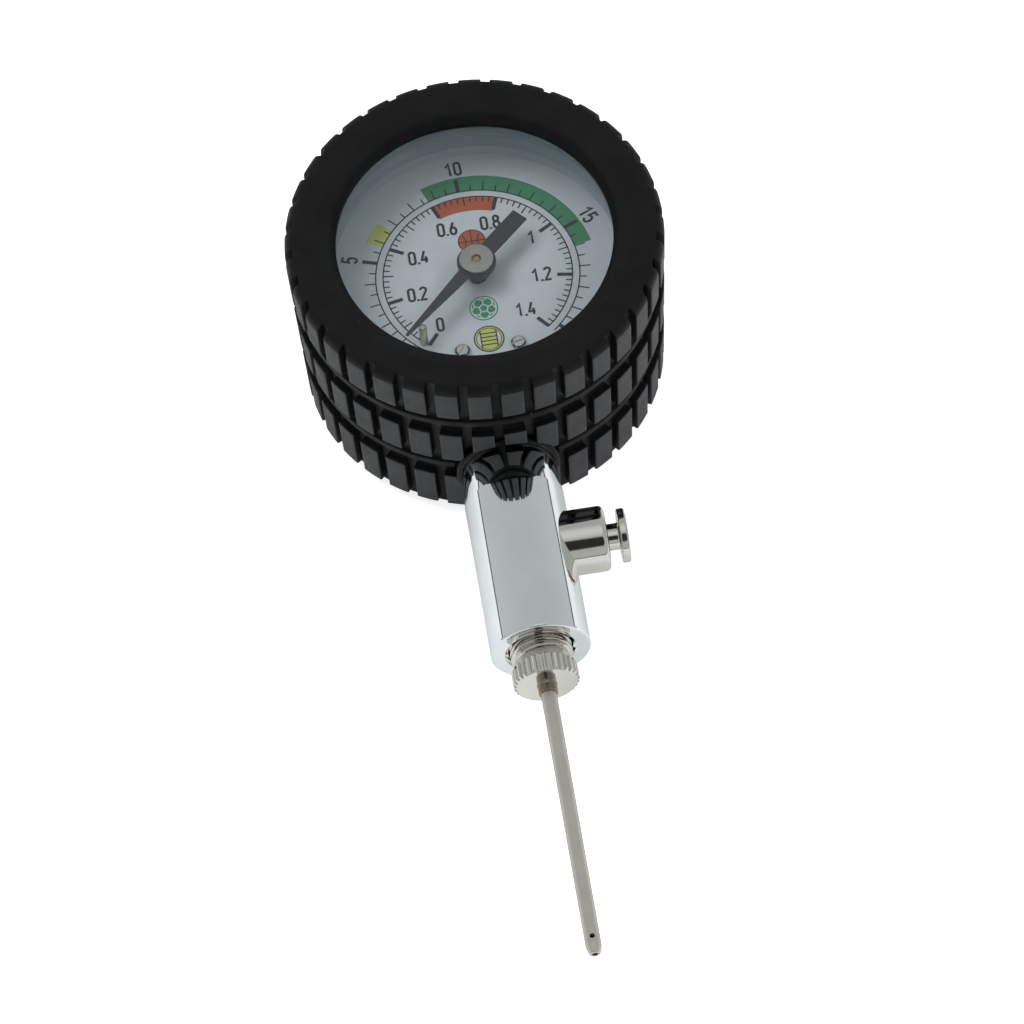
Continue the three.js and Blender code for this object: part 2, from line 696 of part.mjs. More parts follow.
function needleTube() {
  const [across, along] = NEEDLE_ROUNDING;
  const tip = [];
  for (const a of [0, 30, 60, 90]) {
    tip.push([
      NEEDLE_R - across * (1 - Math.cos(a * DEG)),
      NEEDLE_TIP - along * (1 - Math.sin(a * DEG)),
    ]);
  }
  const shaft = turned([
    [NEEDLE_BORE, THREAD_START - 0.5],
    [NEEDLE_R, THREAD_START - 0.5],
    ...tip,
    [NEEDLE_BORE * 0.8, NEEDLE_TIP],
    [NEEDLE_BORE * 0.8, NEEDLE_TIP - 1],
    [NEEDLE_BORE, NEEDLE_TIP - along],
  ], 24);
  const sideHole = rod(SIDE_HOLE_R, 0, NEEDLE_R + 1).rotate([-90, 0, 0]);
  return shaft.subtract(at(sideHole, 0, 0, NEEDLE_TIP - SIDE_HOLE_SETBACK));
}

function needleWasher() {
  return ring(NEEDLE_SPIGOT_R + 0.1, SEAL_WASHER_R - 0.1, THREAD_START - 0.9, THREAD_START - 0.1);
}

// Bleed valve pieces, turned about +Z as the distance from the body's axis ------

function bleedBarrel() {
  const round = 0.9;
  return turned([
    [1.0, BARREL_START],
    [BARREL_R, BARREL_START],
    [BARREL_R, BARREL_END - round],
    [BARREL_R - 0.3 * round, BARREL_END - 0.3 * round],
    [BARREL_R - round, BARREL_END],
    [BUTTON_STEM_R + 0.1, BARREL_END],
    [BUTTON_STEM_R + 0.1, BARREL_END - 0.7],
    [PLUNGER_SHOULDER_R + 0.15, BARREL_END - 0.7],
    [PLUNGER_SHOULDER_R + 0.15, BARREL_START + 0.8],
    [1.0, BARREL_START + 0.8],
  ], 28);
}

function bleedButton() {
  return turned([
    [0, PLUNGER_PIN_START],
    [PLUNGER_PIN_R, PLUNGER_PIN_START],
    [PLUNGER_PIN_R, PLUNGER_SHOULDER],
    [PLUNGER_SHOULDER_R, PLUNGER_SHOULDER],
    [PLUNGER_SHOULDER_R, BARREL_END - 0.85],
    [BUTTON_STEM_R, BARREL_END - 0.85],
    [BUTTON_STEM_R, BUTTON_BACK - 0.25],
    [BUTTON_STEM_R + 0.25, BUTTON_BACK],
    [BUTTON_R - 0.2, BUTTON_BACK],
    [BUTTON_R, BUTTON_BACK + 0.25],
    [BUTTON_R, BUTTON_FACE - 0.3],
    [BUTTON_R - 0.3, BUTTON_FACE],
    [BUTTON_R - 1.3, BUTTON_FACE],
    [0, BUTTON_FACE - 0.25],
  ], 28);
}

function bleedPoppet() {
  const [start, step, end] = [1.9, 2.6, 3.3];
  return turned([
    [0, start],
    [POPPET_R, start],
    [POPPET_R, step],
    [0.8, step],
    [0.8, end],
    [0, end],
  ], 28);
}

function bleedSeal() {
  return ring(0.9, POPPET_R - 0.1, 2.65, 3.1);
}

// Round-wire compression spring between the barrel's seat and the button's shoulder.
function bleedSpring() {
  const [from, to, radius, wire, turns] = [BARREL_START + 1.05, 8.3, 1.45, 0.17, 6];
  const steps = turns * 12;
  const sections = [];
  for (let i = 0; i <= steps; i++) {
    const a = (360 * turns * i) / steps;
    const z = from + ((to - from) * i) / steps;
    const section = [];
    for (let k = 0; k <= 5; k++) {
      const u = 72 * k;
      const [x, y] = polar(radius + wire * Math.cos(u * DEG), a);
      section.push(new THREE.Vector3(x, y, z + wire * Math.sin(u * DEG)));
    }
    sections.push(section);
  }
  return sweep(sections);
}

// Assembly ------------------------------------------------------------------

const finishes = {
  rubber: { color: 0x1b1b1c, roughness: 0.75, metalness: 0 },
  black: { color: 0x232427, roughness: 0.45, metalness: 0.1 },
  white: { color: 0xe9edf0, roughness: 0.6, metalness: 0 },
  clear: { color: 0xf4f8fa, roughness: 0.04, metalness: 0 },
  chrome: { color: 0xdfe2e4, roughness: 0.08, metalness: 1 },
  nickel: { color: 0xb9b5aa, roughness: 0.25, metalness: 1 },
  brass: { color: 0xc2a15a, roughness: 0.35, metalness: 1 },
  steel: { color: 0xa9abad, roughness: 0.4, metalness: 1 },
};

function named(name, finish, shape) {
  const mesh = new THREE.Mesh(geometryOf(shape), new THREE.MeshStandardMaterial(finishes[finish]));
  mesh.name = name;
  return mesh;
}

const gauge = new THREE.Group();
gauge.add(
  named("rubber_boot", "rubber", rubberBoot()),
  named("gauge_case", "black", gaugeCase()),
  named("dial_plate", "white", dialPlate()),
  named("spacer_ring", "white", spacerRing()),
  named("lens_gasket", "rubber", lensGasket()),
  named("lens", "clear", rod(LENS_R, LENS_BACK, LENS_FACE, 48)),
  named("stop_pin", "nickel", at(stopPin(), ...polar(STOP_PIN_RADIUS, STOP_PIN_ANGLE))),
  named("pointer", "black", pointerBlade()),
  named("pointer_bush", "nickel", pointerBush()),
  named("pinion_shaft", "brass", pinionShaft()),
  named("sector_gear", "brass", sectorGear()),
  named("tail_pin", "steel", tailPin()),
  named("link_bar", "brass", linkBar()),
  named("tube_tip", "brass", tubeTip()),
  named("bourdon_tube", "brass", bourdonTube()),
  named("hairspring", "steel", hairspring()),
  named("movement_back_plate", "brass", movementPlate(BACK_PLATE_Z, MOVEMENT_SCREW, 0.65)),
  named("movement_front_plate", "brass", movementPlate(FRONT_PLATE_Z, DIAL_SCREW, 0.6)),
  named("socket_block", "brass", socketBlock()),
);
PILLARS.forEach((p, i) => gauge.add(named(`movement_pillar_${i + 1}`, "steel", pillar(p))));

for (const [side, sign] of Object.entries(SIDES)) {
  const beside = (shape, { x, y }, z = 0) => at(shape, sign * x, y, z);
  const dialScrew = screw(DIAL_SCREW, DIAL_FACE + CONTACT_GAP);
  const movementScrew = screw(MOVEMENT_SCREW, BACK_PLATE_Z[1] + CONTACT_GAP);
  const caseScrew = screw(CASE_SCREW, 0).rotate([180, 0, 0]);
  const underCase = CASE_BACK - CONTACT_GAP;
  gauge.add(
    named(`dial_screw_${side}`, "nickel", beside(dialScrew, DIAL_SCREW)),
    named(`dial_post_${side}`, "brass", beside(dialPost(), DIAL_SCREW)),
    named(`movement_screw_${side}`, "steel", beside(movementScrew, MOVEMENT_SCREW)),
    named(`case_screw_${side}`, "steel", beside(caseScrew, CASE_SCREW, underCase)),
  );
}

const stem = new THREE.Group();
stem.rotation.x = Math.PI / 2;
stem.position.z = STEM_Z;
stem.add(
  named("valve_body", "chrome", valveBody()),
  named("stem_grommet", "rubber", stemGrommet()),
  named("body_seal", "rubber", bodySeal()),
  named("needle_collar", "nickel", needleCollar()),
  named("needle_tube", "nickel", needleTube()),
  named("needle_washer", "rubber", needleWasher()),
);

const bleed = new THREE.Group();
bleed.rotation.y = Math.PI / 2;
bleed.position.set(0, BLEED_Y, STEM_Z);
bleed.add(
  named("bleed_barrel", "nickel", bleedBarrel()),
  named("bleed_button", "nickel", bleedButton()),
  named("bleed_poppet", "brass", bleedPoppet()),
  named("bleed_seal", "rubber", bleedSeal()),
  named("bleed_spring", "steel", bleedSpring()),
);
gauge.add(stem, bleed);

export default gauge;
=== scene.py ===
"""Looks of the ball pressure gauge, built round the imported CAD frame."""
import json
import math
import random

import bmesh
import bpy
from mathutils import Matrix, Vector

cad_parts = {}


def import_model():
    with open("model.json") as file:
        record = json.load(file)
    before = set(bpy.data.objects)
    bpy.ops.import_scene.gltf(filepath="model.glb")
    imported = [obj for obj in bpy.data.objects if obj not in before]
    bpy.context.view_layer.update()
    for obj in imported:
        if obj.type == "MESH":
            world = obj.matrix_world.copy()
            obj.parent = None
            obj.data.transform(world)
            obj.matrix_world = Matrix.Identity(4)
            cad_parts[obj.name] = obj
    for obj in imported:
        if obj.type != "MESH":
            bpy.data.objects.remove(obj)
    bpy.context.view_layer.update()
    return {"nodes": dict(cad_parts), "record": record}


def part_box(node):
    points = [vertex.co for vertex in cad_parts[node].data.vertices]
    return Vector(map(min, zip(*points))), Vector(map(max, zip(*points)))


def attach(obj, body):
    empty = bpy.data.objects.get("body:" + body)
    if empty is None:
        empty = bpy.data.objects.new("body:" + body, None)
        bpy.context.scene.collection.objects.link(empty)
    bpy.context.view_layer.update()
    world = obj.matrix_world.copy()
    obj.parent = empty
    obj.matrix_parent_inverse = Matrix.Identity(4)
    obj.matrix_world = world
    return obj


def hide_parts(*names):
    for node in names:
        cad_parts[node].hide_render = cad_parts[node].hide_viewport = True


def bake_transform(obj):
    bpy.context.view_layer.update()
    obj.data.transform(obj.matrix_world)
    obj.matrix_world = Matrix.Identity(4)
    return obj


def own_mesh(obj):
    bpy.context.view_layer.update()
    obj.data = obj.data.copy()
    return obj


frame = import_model()

MM = 0.001
DEG = math.pi / 180

# Sizes here are in millimetres and angles in degrees. These are read from the CAD nodes' boxes.
BOOT_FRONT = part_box("rubber_boot")[1].z / MM
BOOT_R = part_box("rubber_boot")[1].y / MM
LENS_LOW, LENS_HIGH = (c.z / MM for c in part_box("lens"))
LENS_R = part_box("lens")[1].x / MM
DIAL_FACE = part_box("dial_plate")[1].z / MM
DIAL_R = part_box("dial_plate")[1].x / MM
CASE_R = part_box("gauge_case")[1].x / MM
CASE_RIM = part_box("gauge_case")[1].z / MM
BODY_END = -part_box("valve_body")[0].y / MM
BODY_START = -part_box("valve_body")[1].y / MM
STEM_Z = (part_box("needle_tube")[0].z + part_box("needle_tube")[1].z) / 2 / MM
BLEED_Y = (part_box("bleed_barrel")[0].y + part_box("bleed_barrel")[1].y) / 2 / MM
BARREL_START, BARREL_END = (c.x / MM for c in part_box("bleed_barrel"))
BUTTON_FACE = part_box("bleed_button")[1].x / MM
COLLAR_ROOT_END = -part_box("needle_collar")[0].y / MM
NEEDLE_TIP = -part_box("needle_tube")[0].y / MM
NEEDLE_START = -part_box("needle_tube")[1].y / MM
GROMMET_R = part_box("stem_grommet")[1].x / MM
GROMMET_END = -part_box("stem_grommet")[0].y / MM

# Boot and case
TREAD_DEPTH = 1.1
TREAD_BLOCKS = 36
TREAD_PHASE = -92
TREAD_ROUND = 0.12
TREAD_ROOT_ROUND = 0.15
SLOT_HALF = 0.62
BOOT_R_BACK = 23.2
BOOT_EDGE = 2.07
BOOT_SMOOTH = 36
WINDOW_R = 17.6
BORE_R = 20.9
BACK_OPENING = 18.4
BACK_LIP = 1.8
TREAD_ROWS = ((1.4, 8.4), (12.7, 18.7), (23.2, 30.0))
SLOT_TOP = 29.95
SLOT_RUN_OUT = 0.25
# Top edge of the painted sheen on the tread faces
TREAD_SHEEN_TOP = 28.45
RIB_HALF = 0.7
RIB_HEIGHT = 0.55
HOLE_R = 6.8
HOLE_START = 15
HOLE_END = 28
CASE_BACK = 2.1
CASE_PAD_R = 12.0

# Stem
BODY_R = 6.35
NECK_R = 5.9
NECK_START = 23.3
NECK_END = 28.2

# Dial printing
ZERO_ANGLE = 231.2
ANGLE_PER_BAR = -200.9
PSI_PER_BAR = 14.504
TOP_BAR = 1.4
INNER_CIRCLE = 12.1
OUTER_CIRCLE = 13.05
LINE = 0.17
BOLD = 0.5
LONG_TICK = 1.95
INNER_BAND = (9.95, 12.03)
OUTER_BAND = (13.12, 15.3)
BASKETBALL_Y = 5.25
FOOTBALL_Y = -5.15
VOLLEYBALL_Y = -9.85
INK_LIFT = 0.012
GLYPH_W = 0.4

# Pointer
POINTER_Z = 22.9
POINTER_REST = 222.75

# Needle
THREAD_R = 3.93
THREAD_ROOT = 3.42
THREAD_PITCH = 0.794
COLLAR_START = 52.7
COLLAR_END = 55.2
KNURL_R = 4.2
KNURL_TEETH = 30

# Segments round the large turned pieces
FINE = 160

# Places of the turned pieces' axes, in metres
DIAL_PLACE = Matrix.Identity(4)
STEM_PLACE = Matrix.Translation((0, 0, STEM_Z * MM)) @ Matrix.Rotation(math.pi / 2, 4, "X")
BLEED_PLACE = (
    Matrix.Translation((0, BLEED_Y * MM, STEM_Z * MM)) @ Matrix.Rotation(math.pi / 2, 4, "Y")
)


# ---- Materials


class Nodes:
    """Short-hand for building one material's node tree."""

    def __init__(self, name):
        self.material = bpy.data.materials.new(name)
        self.material.use_nodes = True
        self.tree = self.material.node_tree
        self.shader = self.tree.nodes["Principled BSDF"]
        self.coord = self.tree.nodes.new("ShaderNodeTexCoord").outputs["Object"]

    def node(self, kind, **values):
        made = self.tree.nodes.new(kind)
        for key, value in values.items():
            if key in made.inputs:
                made.inputs[key].default_value = value
            else:
                setattr(made, key, value)
        return made

    def link(self, a, b):
        self.tree.links.new(a, b)

    def noise(self, scale, detail, stretch=(1, 1, 1)):
        """Noise with about scale grains to the metre."""
        mapping = self.node("ShaderNodeMapping")
        mapping.inputs["Scale"].default_value = stretch
        self.link(self.coord, mapping.inputs["Vector"])
        made = self.node("ShaderNodeTexNoise", Scale=scale, Detail=detail)
        self.link(mapping.outputs["Vector"], made.inputs["Vector"])
        return made.outputs["Fac"]

    def spread(self, source, low, high, start=0.3, end=0.7):
        """The source from start to end, turned into low to high."""
        made = self.node("ShaderNodeMapRange")
        for key, value in zip(("From Min", "From Max", "To Min", "To Max"), (start, end, low, high)):
            made.inputs[key].default_value = value
        self.link(source, made.inputs["Value"])
        return made.outputs["Result"]

    def blend(self, factor, a, b):
        """A mix of a and b, each of them a plain colour or another node's output."""
        made = self.node("ShaderNodeMix", data_type="RGBA")
        self.link(factor, made.inputs["Factor"])
        for side, colour in (("A", a), ("B", b)):
            if isinstance(colour, tuple):
                made.inputs[side].default_value = (*colour, 1)
            else:
                self.link(colour, made.inputs[side])
        return made.outputs["Result"]

    def bump(self, source, strength, distance):
        """Bump from a height, on top of any bump already there. The distance is in metres."""
        made = self.node("ShaderNodeBump", Strength=strength, Distance=distance)
        self.link(source, made.inputs["Height"])
        normal = self.shader.inputs["Normal"]
        if normal.is_linked:
            self.link(normal.links[0].from_socket, made.inputs["Normal"])
        self.link(made.outputs["Normal"], normal)

    def set(self, **values):
        for key, value in values.items():
            self.shader.inputs[key.replace("_", " ")].default_value = value


def scaled(colour, share):
    return tuple(c * share for c in colour)


def tread_faces(n):
    """A factor that is 1 on the outer faces of the boot's tread blocks and 0 elsewhere: where the painted
    sheen goes.
    """
    flat = n.node("ShaderNodeVectorMath", operation="MULTIPLY")
    flat.inputs[1].default_value = (1, 1, 0)
    n.link(n.coord, flat.inputs[0])
    radius = n.node("ShaderNodeVectorMath", operation="LENGTH")
    n.link(flat.outputs["Vector"], radius.inputs[0])
    split = n.node("ShaderNodeSeparateXYZ")
    n.link(n.coord, split.inputs[0])
    face = n.node("ShaderNodeMath", operation="MULTIPLY_ADD")
    face.inputs[1].default_value = (BOOT_R - BOOT_R_BACK) / BOOT_FRONT
    face.inputs[2].default_value = BOOT_R_BACK * MM
    n.link(split.outputs["Z"], face.inputs[0])
    above = n.node("ShaderNodeMath", operation="SUBTRACT")
    n.link(radius.outputs["Value"], above.inputs[0])
    n.link(face.outputs["Value"], above.inputs[1])
    outer = n.spread(above.outputs["Value"], 0, 1, start=-0.2 * MM, end=-0.06 * MM)
    under_rim = n.spread(split.outputs["Z"], 1, 0, start=TREAD_SHEEN_TOP * MM, end=(TREAD_SHEEN_TOP + 0.2) * MM)
    both = n.node("ShaderNodeMath", operation="MULTIPLY")
    n.link(outer, both.inputs[0])
    n.link(under_rim, both.inputs[1])
    return both.outputs["Value"]


def rubber(name, colour, rough=(0.42, 0.58), specular=0.35, tread_sheen=None):
    """Black rubber with dust. The last argument, if given, is the colour of the tread's outer faces: a
    painted sheen, lighter where they catch glancing light.
    """
    n = Nodes(name)
    n.set(Specular_IOR_Level=specular)
    tone = n.spread(n.noise(260, 6), 0, 1)
    mixed = n.blend(tone, scaled(colour, 0.75), scaled(colour, 1.3))
    if tread_sheen:
        # Painted sheen on the tread faces, mottled at random
        sheen_mottle = n.spread(n.noise(2200, 5), 0, 1)
        mixed = n.blend(tread_faces(n), mixed, n.blend(sheen_mottle, scaled(tread_sheen, 0.8), tread_sheen))
    dust = n.spread(n.noise(1500, 2), 0, 1, start=0.76, end=0.8)
    n.link(n.blend(dust, mixed, (0.12, 0.12, 0.125)), n.shader.inputs["Base Color"])
    n.link(n.spread(n.noise(420, 5), *rough), n.shader.inputs["Roughness"])
    n.bump(n.noise(5200, 3), 0.25, 0.03 * MM)
    n.bump(n.noise(900, 4), 0.12, 0.06 * MM)
    return n.material


def plated(name, colour, rough=(0.04, 0.08), grain=None, strength=0.05, edge=1.0):
    """Bright metal. grain stretches fine machining lines along one axis, and edge under 1 dulls
    what it reflects at a glancing angle."""
    n = Nodes(name)
    n.set(Metallic=1.0, Specular_Tint=(edge, edge, edge, 1))
    tone = n.spread(n.noise(180, 5), 0, 1)
    n.link(n.blend(tone, scaled(colour, 0.93), colour), n.shader.inputs["Base Color"])
    n.link(n.spread(n.noise(300, 6), *rough), n.shader.inputs["Roughness"])
    if grain:
        n.bump(n.noise(1200, 3, grain), strength, 0.02 * MM)
    n.bump(n.noise(150, 2), 0.03, 0.03 * MM)
    return n.material


def painted(name, colour, rough=(0.35, 0.5), strength=0.08, specular=0.4):
    """Paint or moulded plastic, with a fine grain."""
    n = Nodes(name)
    n.set(Specular_IOR_Level=specular)
    tone = n.spread(n.noise(340, 5), 0, 1)
    n.link(n.blend(tone, scaled(colour, 0.94), colour), n.shader.inputs["Base Color"])
    n.link(n.spread(n.noise(500, 4), *rough), n.shader.inputs["Roughness"])
    n.bump(n.noise(2600, 3), strength, 0.02 * MM)
    return n.material


def printed(name, colour):
    return painted(name, colour, rough=(0.5, 0.6), specular=0.2)


def clear(name):
    """Clear plastic that lets light through without bending it, with a reflection by angle."""
    n = Nodes(name)
    through = n.node("ShaderNodeBsdfTransparent", Color=(0.97, 0.98, 0.985, 1))
    gloss = n.node("ShaderNodeBsdfGlossy", Color=(0.9, 0.95, 1, 1))
    n.link(n.spread(n.noise(200, 4), 0.01, 0.05), gloss.inputs["Roughness"])
    facing = n.node("ShaderNodeFresnel", IOR=1.42)
    mixed = n.node("ShaderNodeMixShader")
    n.link(facing.outputs["Fac"], mixed.inputs["Fac"])
    n.link(through.outputs["BSDF"], mixed.inputs[1])
    n.link(gloss.outputs["BSDF"], mixed.inputs[2])
    n.tree.nodes.remove(n.shader)
    n.link(mixed.outputs["Shader"], n.tree.nodes["Material Output"].inputs["Surface"])
    return n.material


# The lighter colour on the boot's tread faces is painted sheen from glancing light
RUBBER = rubber("boot_rubber", (0.0050, 0.0051, 0.0054), specular=0.17, tread_sheen=(0.056, 0.057, 0.060))
SEAL = rubber("seal_rubber", (0.01, 0.01, 0.01))
GLOSSY_RUBBER = rubber("glossy_rubber", (0.003, 0.003, 0.0033), rough=(0.2, 0.3), specular=0.16)
CHROME = plated("chrome", (0.86, 0.89, 0.89), rough=(0.03, 0.06))
NICKEL = plated("nickel", (0.72, 0.70, 0.65), rough=(0.05, 0.1), grain=(1, 6, 1))
SATIN = plated(
    "satin_nickel", (0.70, 0.665, 0.59), rough=(0.32, 0.44), grain=(4, 0.3, 4), strength=0.2, edge=0.35
)
# Darker metal for the needle's root: painted shade for the dark reflection and shadow there
ROOT_SHADE = plated("root_shade_nickel", (0.32, 0.27, 0.22), rough=(0.2, 0.35), grain=(4, 1, 4), strength=0.2)
BRUSHED = plated("brushed_cap", (0.54, 0.51, 0.46), rough=(0.22, 0.34), grain=(0.4, 9, 1), strength=0.5)
BRASS = plated("brass", (0.50, 0.37, 0.18), rough=(0.2, 0.35), grain=(1, 6, 1), strength=0.15)
STEEL = plated("steel", (0.56, 0.57, 0.58), rough=(0.2, 0.32), grain=(6, 1, 1), strength=0.12)
CASE_PAINT = painted("case_paint", (0.012, 0.012, 0.013), rough=(0.3, 0.42))
POINTER_PAINT = painted("pointer_paint", (0.035, 0.036, 0.039), rough=(0.4, 0.5))
DIAL_WHITE = painted("dial_white", (0.725, 0.765, 0.79), rough=(0.45, 0.6), strength=0.03)
WALL_WHITE = painted("wall_white", (0.59, 0.655, 0.685), rough=(0.3, 0.4), strength=0.03)
INK = printed("ink_black", (0.03, 0.033, 0.038))
INK_GREEN = printed("ink_green", (0.06, 0.30, 0.145))
INK_ORANGE = printed("ink_orange", (0.54, 0.118, 0.05))
INK_YELLOW = printed("ink_yellow", (0.70, 0.73, 0.17))
CLEAR = clear("clear_lens")


# ---- Mesh code


def in_scene(name, data):
    thing = bpy.data.objects.new(name, data)
    bpy.context.scene.collection.objects.link(thing)
    return thing


def made(name, vertices, faces, material, smooth=32):
    """A mesh object from points in millimetres, smooth except over sharp edges."""
    mesh = bpy.data.meshes.new(name)
    mesh.from_pydata([[c * MM for c in v] for v in vertices], [], faces)
    mesh.validate()
    bm = bmesh.new()
    bm.from_mesh(mesh)
    bmesh.ops.remove_doubles(bm, verts=bm.verts, dist=1e-7)
    bmesh.ops.recalc_face_normals(bm, faces=bm.faces)
    bm.to_mesh(mesh)
    bm.free()
    mesh.materials.append(material)
    shade(mesh, smooth)
    return in_scene(name, mesh)


def shade(mesh, angle):
    """Smooth shading, except over edges that turn more than the angle."""
    mesh.shade_smooth()
    mesh.set_sharp_from_angle(angle=angle * DEG)


def polar(radius, degrees):
    return radius * math.cos(degrees * DEG), radius * math.sin(degrees * DEG)


def loft(sections, ring=False):
    """Vertices and faces through matching closed sections, in a ring or with flat ends."""
    n = len(sections[0])
    vertices = [point for section in sections for point in section]
    faces = []
    for i in range(len(sections) if ring else len(sections) - 1):
        a, b = i * n, (i + 1) % len(sections) * n
        faces += [(a + k, b + k, b + (k + 1) % n, a + (k + 1) % n) for k in range(n)]
    if not ring:
        faces += [tuple(reversed(range(n))), tuple(range(len(vertices) - n, len(vertices)))]
    return vertices, faces


def rounded(points, steps=5):
    """Corner points (a, b, radius) with each corner turned into an arc. The outline is closed."""
    out = []
    count = len(points)
    for i, (a, b, radius) in enumerate(points):
        here = Vector((a, b))
        if radius <= 0:
            out.append(here)
            continue
        before = Vector(points[i - 1][:2]) - here
        after = Vector(points[(i + 1) % count][:2]) - here
        half = before.angle(after) / 2
        reach = min(radius / math.tan(half), before.length * 0.49, after.length * 0.49)
        start = here + before.normalized() * reach
        end = here + after.normalized() * reach
        for k in range(steps + 1):
            t = k / steps
            out.append(start * (1 - t) ** 2 + here * (2 * t * (1 - t)) + end * t * t)
    return [(p.x, p.y) for p in out]


def turned(name, points, material, place=DIAL_PLACE, segments=96, steps=5, smooth=32):
    """A turned piece: corner points (radius, height, fillet) about +Z, then put in place."""
    outline = rounded(points, steps)
    sections = []
    for j in range(segments):
        a = 2 * math.pi * j / segments
        sections.append([(r * math.cos(a), r * math.sin(a), h) for r, h in outline])
    vertices, faces = loft(sections, ring=True)
    faces = [face for face in faces if any(math.hypot(*vertices[v][:2]) > 1e-6 for v in face)]
    piece = made(name, vertices, faces, material, smooth)
    piece.data.transform(place)
    return piece


def plug(r, start, end, place, material, segments=96):
    """A plain round plug, for cutting a hole."""
    corners = [(0, start, 0), (r, start, 0), (r, end, 0), (0, end, 0)]
    return turned("plug", corners, material, place, segments)


def prism(name, outline, z0, z1, material, place=DIAL_PLACE):
    """A solid with one flat outline from height z0 to z1, then put in place."""
    sections = [[(x, y, z) for x, y in outline] for z in (z0, z1)]
    piece = made(name, *loft(sections), material)
    piece.data.transform(place)
    return piece


def cut(piece, other, smooth=32):
    """Cuts other from piece, and removes other."""
    step = piece.modifiers.new("cut", "BOOLEAN")
    step.operation = "DIFFERENCE"
    step.solver = "EXACT"
    step.object = other
    bpy.context.view_layer.update()
    graph = bpy.context.evaluated_depsgraph_get()
    mesh = bpy.data.meshes.new_from_object(piece.evaluated_get(graph))
    piece.modifiers.clear()
    piece.data = mesh
    bpy.data.objects.remove(other)
    shade(mesh, smooth)


def joined(name, pieces):
    """One object from several, keeping each one's material."""
    bm = bmesh.new()
    mesh = bpy.data.meshes.new(name)
    for piece in pieces:
        for material in piece.data.materials:
            if material.name not in mesh.materials:
                mesh.materials.append(material)
        start = len(bm.faces)
        bm.from_mesh(piece.data)
        bm.faces.ensure_lookup_table()
        slot = mesh.materials.find(piece.data.materials[0].name)
        for face in bm.faces[start:]:
            face.material_index = slot
    bm.to_mesh(mesh)
    bm.free()
    for piece in pieces:
        bpy.data.objects.remove(piece)
    shade(mesh, 30)
    return in_scene(name, mesh)


def settle(piece, body, slot, *nodes):
    """Puts a piece on its body, in place of any CAD nodes named. The slot argument is not used."""
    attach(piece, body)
    if nodes:
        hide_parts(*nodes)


# ---- Boot


def boot_radius(z):
    """Radius of the tread's outer faces, which taper towards the back."""
    return BOOT_R_BACK + (BOOT_R - BOOT_R_BACK) * z / BOOT_FRONT


def boot_profile():
    """Closed outline of the boot as (radius, height), with its tread rows and rounded rim."""
    points = [(BACK_OPENING, 0, 0.3), (boot_radius(0) - TREAD_DEPTH, 0, 0.3)]
    for k, (z0, z1) in enumerate(TREAD_ROWS):
        points.append((boot_radius(z0) - TREAD_DEPTH, z0, TREAD_ROOT_ROUND))
        points.append((boot_radius(z0), z0, TREAD_ROUND))
        if k + 1 == len(TREAD_ROWS):
            break
        points.append((boot_radius(z1), z1, TREAD_ROUND))
        points.append((boot_radius(z1) - TREAD_DEPTH, z1, TREAD_ROOT_ROUND))
        middle = (z1 + TREAD_ROWS[k + 1][0]) / 2
        floor = boot_radius(middle) - TREAD_DEPTH
        crest = floor + RIB_HEIGHT
        for r, side, fillet in (floor, -1, 0.2), (crest, -0.75, 0.25), (crest, 0.75, 0.25), (floor, 1, 0.2):
            points.append((r, middle + side * RIB_HALF, fillet))
    lens_seat = LENS_HIGH + 0.1
    points += [
        (BOOT_R, BOOT_FRONT, BOOT_EDGE),
        (WINDOW_R + 2.45, BOOT_FRONT, 0.4),
        (WINDOW_R + 0.75, BOOT_FRONT - 0.5, 1.0),
        (WINDOW_R, BOOT_FRONT - 1.8, 0.3),
        (WINDOW_R, lens_seat, 0),
        (BORE_R, lens_seat, 0),
        (BORE_R, BACK_LIP, 0),
        (BACK_OPENING, BACK_LIP, 0.3),
    ]
    return rounded(points, 6)


def densify(outline, longest):
    """A closed outline with points added, so that no stretch is over the longest."""
    out = []
    for (r0, z0), (r1, z1) in zip(outline, outline[1:] + outline[:1]):
        pieces = max(1, math.ceil(math.hypot(r1 - r0, z1 - z0) / longest))
        out += [(r0 + (r1 - r0) * k / pieces, z0 + (z1 - z0) * k / pieces) for k in range(pieces)]
    return out


def smoothstep(t):
    t = min(max(t, 0.0), 1.0)
    return t * t * (3 - 2 * t)


def slot_columns():
    """(angle, weight) of each column of the boot: weight 1 is a slot's floor and 0 a block's face."""
    centre_line = (0, 1)
    corner = (SLOT_HALF, 1), (SLOT_HALF + 0.03, 0.12), (SLOT_HALF + 0.06, 0.04), (SLOT_HALF + 0.13, 0)
    wall = (0.3, 1), *corner, (1.0, 0), (1.5, 0)
    other_wall = [(-distance, weight) for distance, weight in reversed(wall)]
    pitch = 360 / TREAD_BLOCKS
    columns = []
    for i in range(TREAD_BLOCKS):
        centre = TREAD_PHASE + pitch * i
        for distance, weight in (*other_wall, centre_line, *wall):
            columns.append((centre + distance / BOOT_R / DEG, weight))
        columns.append((centre + pitch / 2, 0))
    return columns


def in_tread_row(z):
    return any(z0 - 0.5 < z < z1 + 0.5 for z0, z1 in TREAD_ROWS)


def boot():
    """The boot, as one outline on each column, pushed in to the slots' floors."""
    outline = densify(boot_profile(), longest=0.5)
    sections = []
    for angle, weight in slot_columns():
        section = []
        for r, z in outline:
            slotted = r > BORE_R + 0.5 and in_tread_row(z)
            depth = max(0.0, r - boot_radius(z) + TREAD_DEPTH) if slotted else 0.0
            depth *= 1 - smoothstep((z - SLOT_TOP + SLOT_RUN_OUT) / SLOT_RUN_OUT)
            section.append((*polar(r - depth * weight, angle), z))
        sections.append(section)
    piece = made("boot", *loft(sections, ring=True), RUBBER, BOOT_SMOOTH)
    cut(piece, plug(HOLE_R, HOLE_START, HOLE_END, STEM_PLACE, RUBBER), BOOT_SMOOTH)
    settle(piece, "gauge", "boot_rubber", "rubber_boot")


# ---- Case, dial and lens


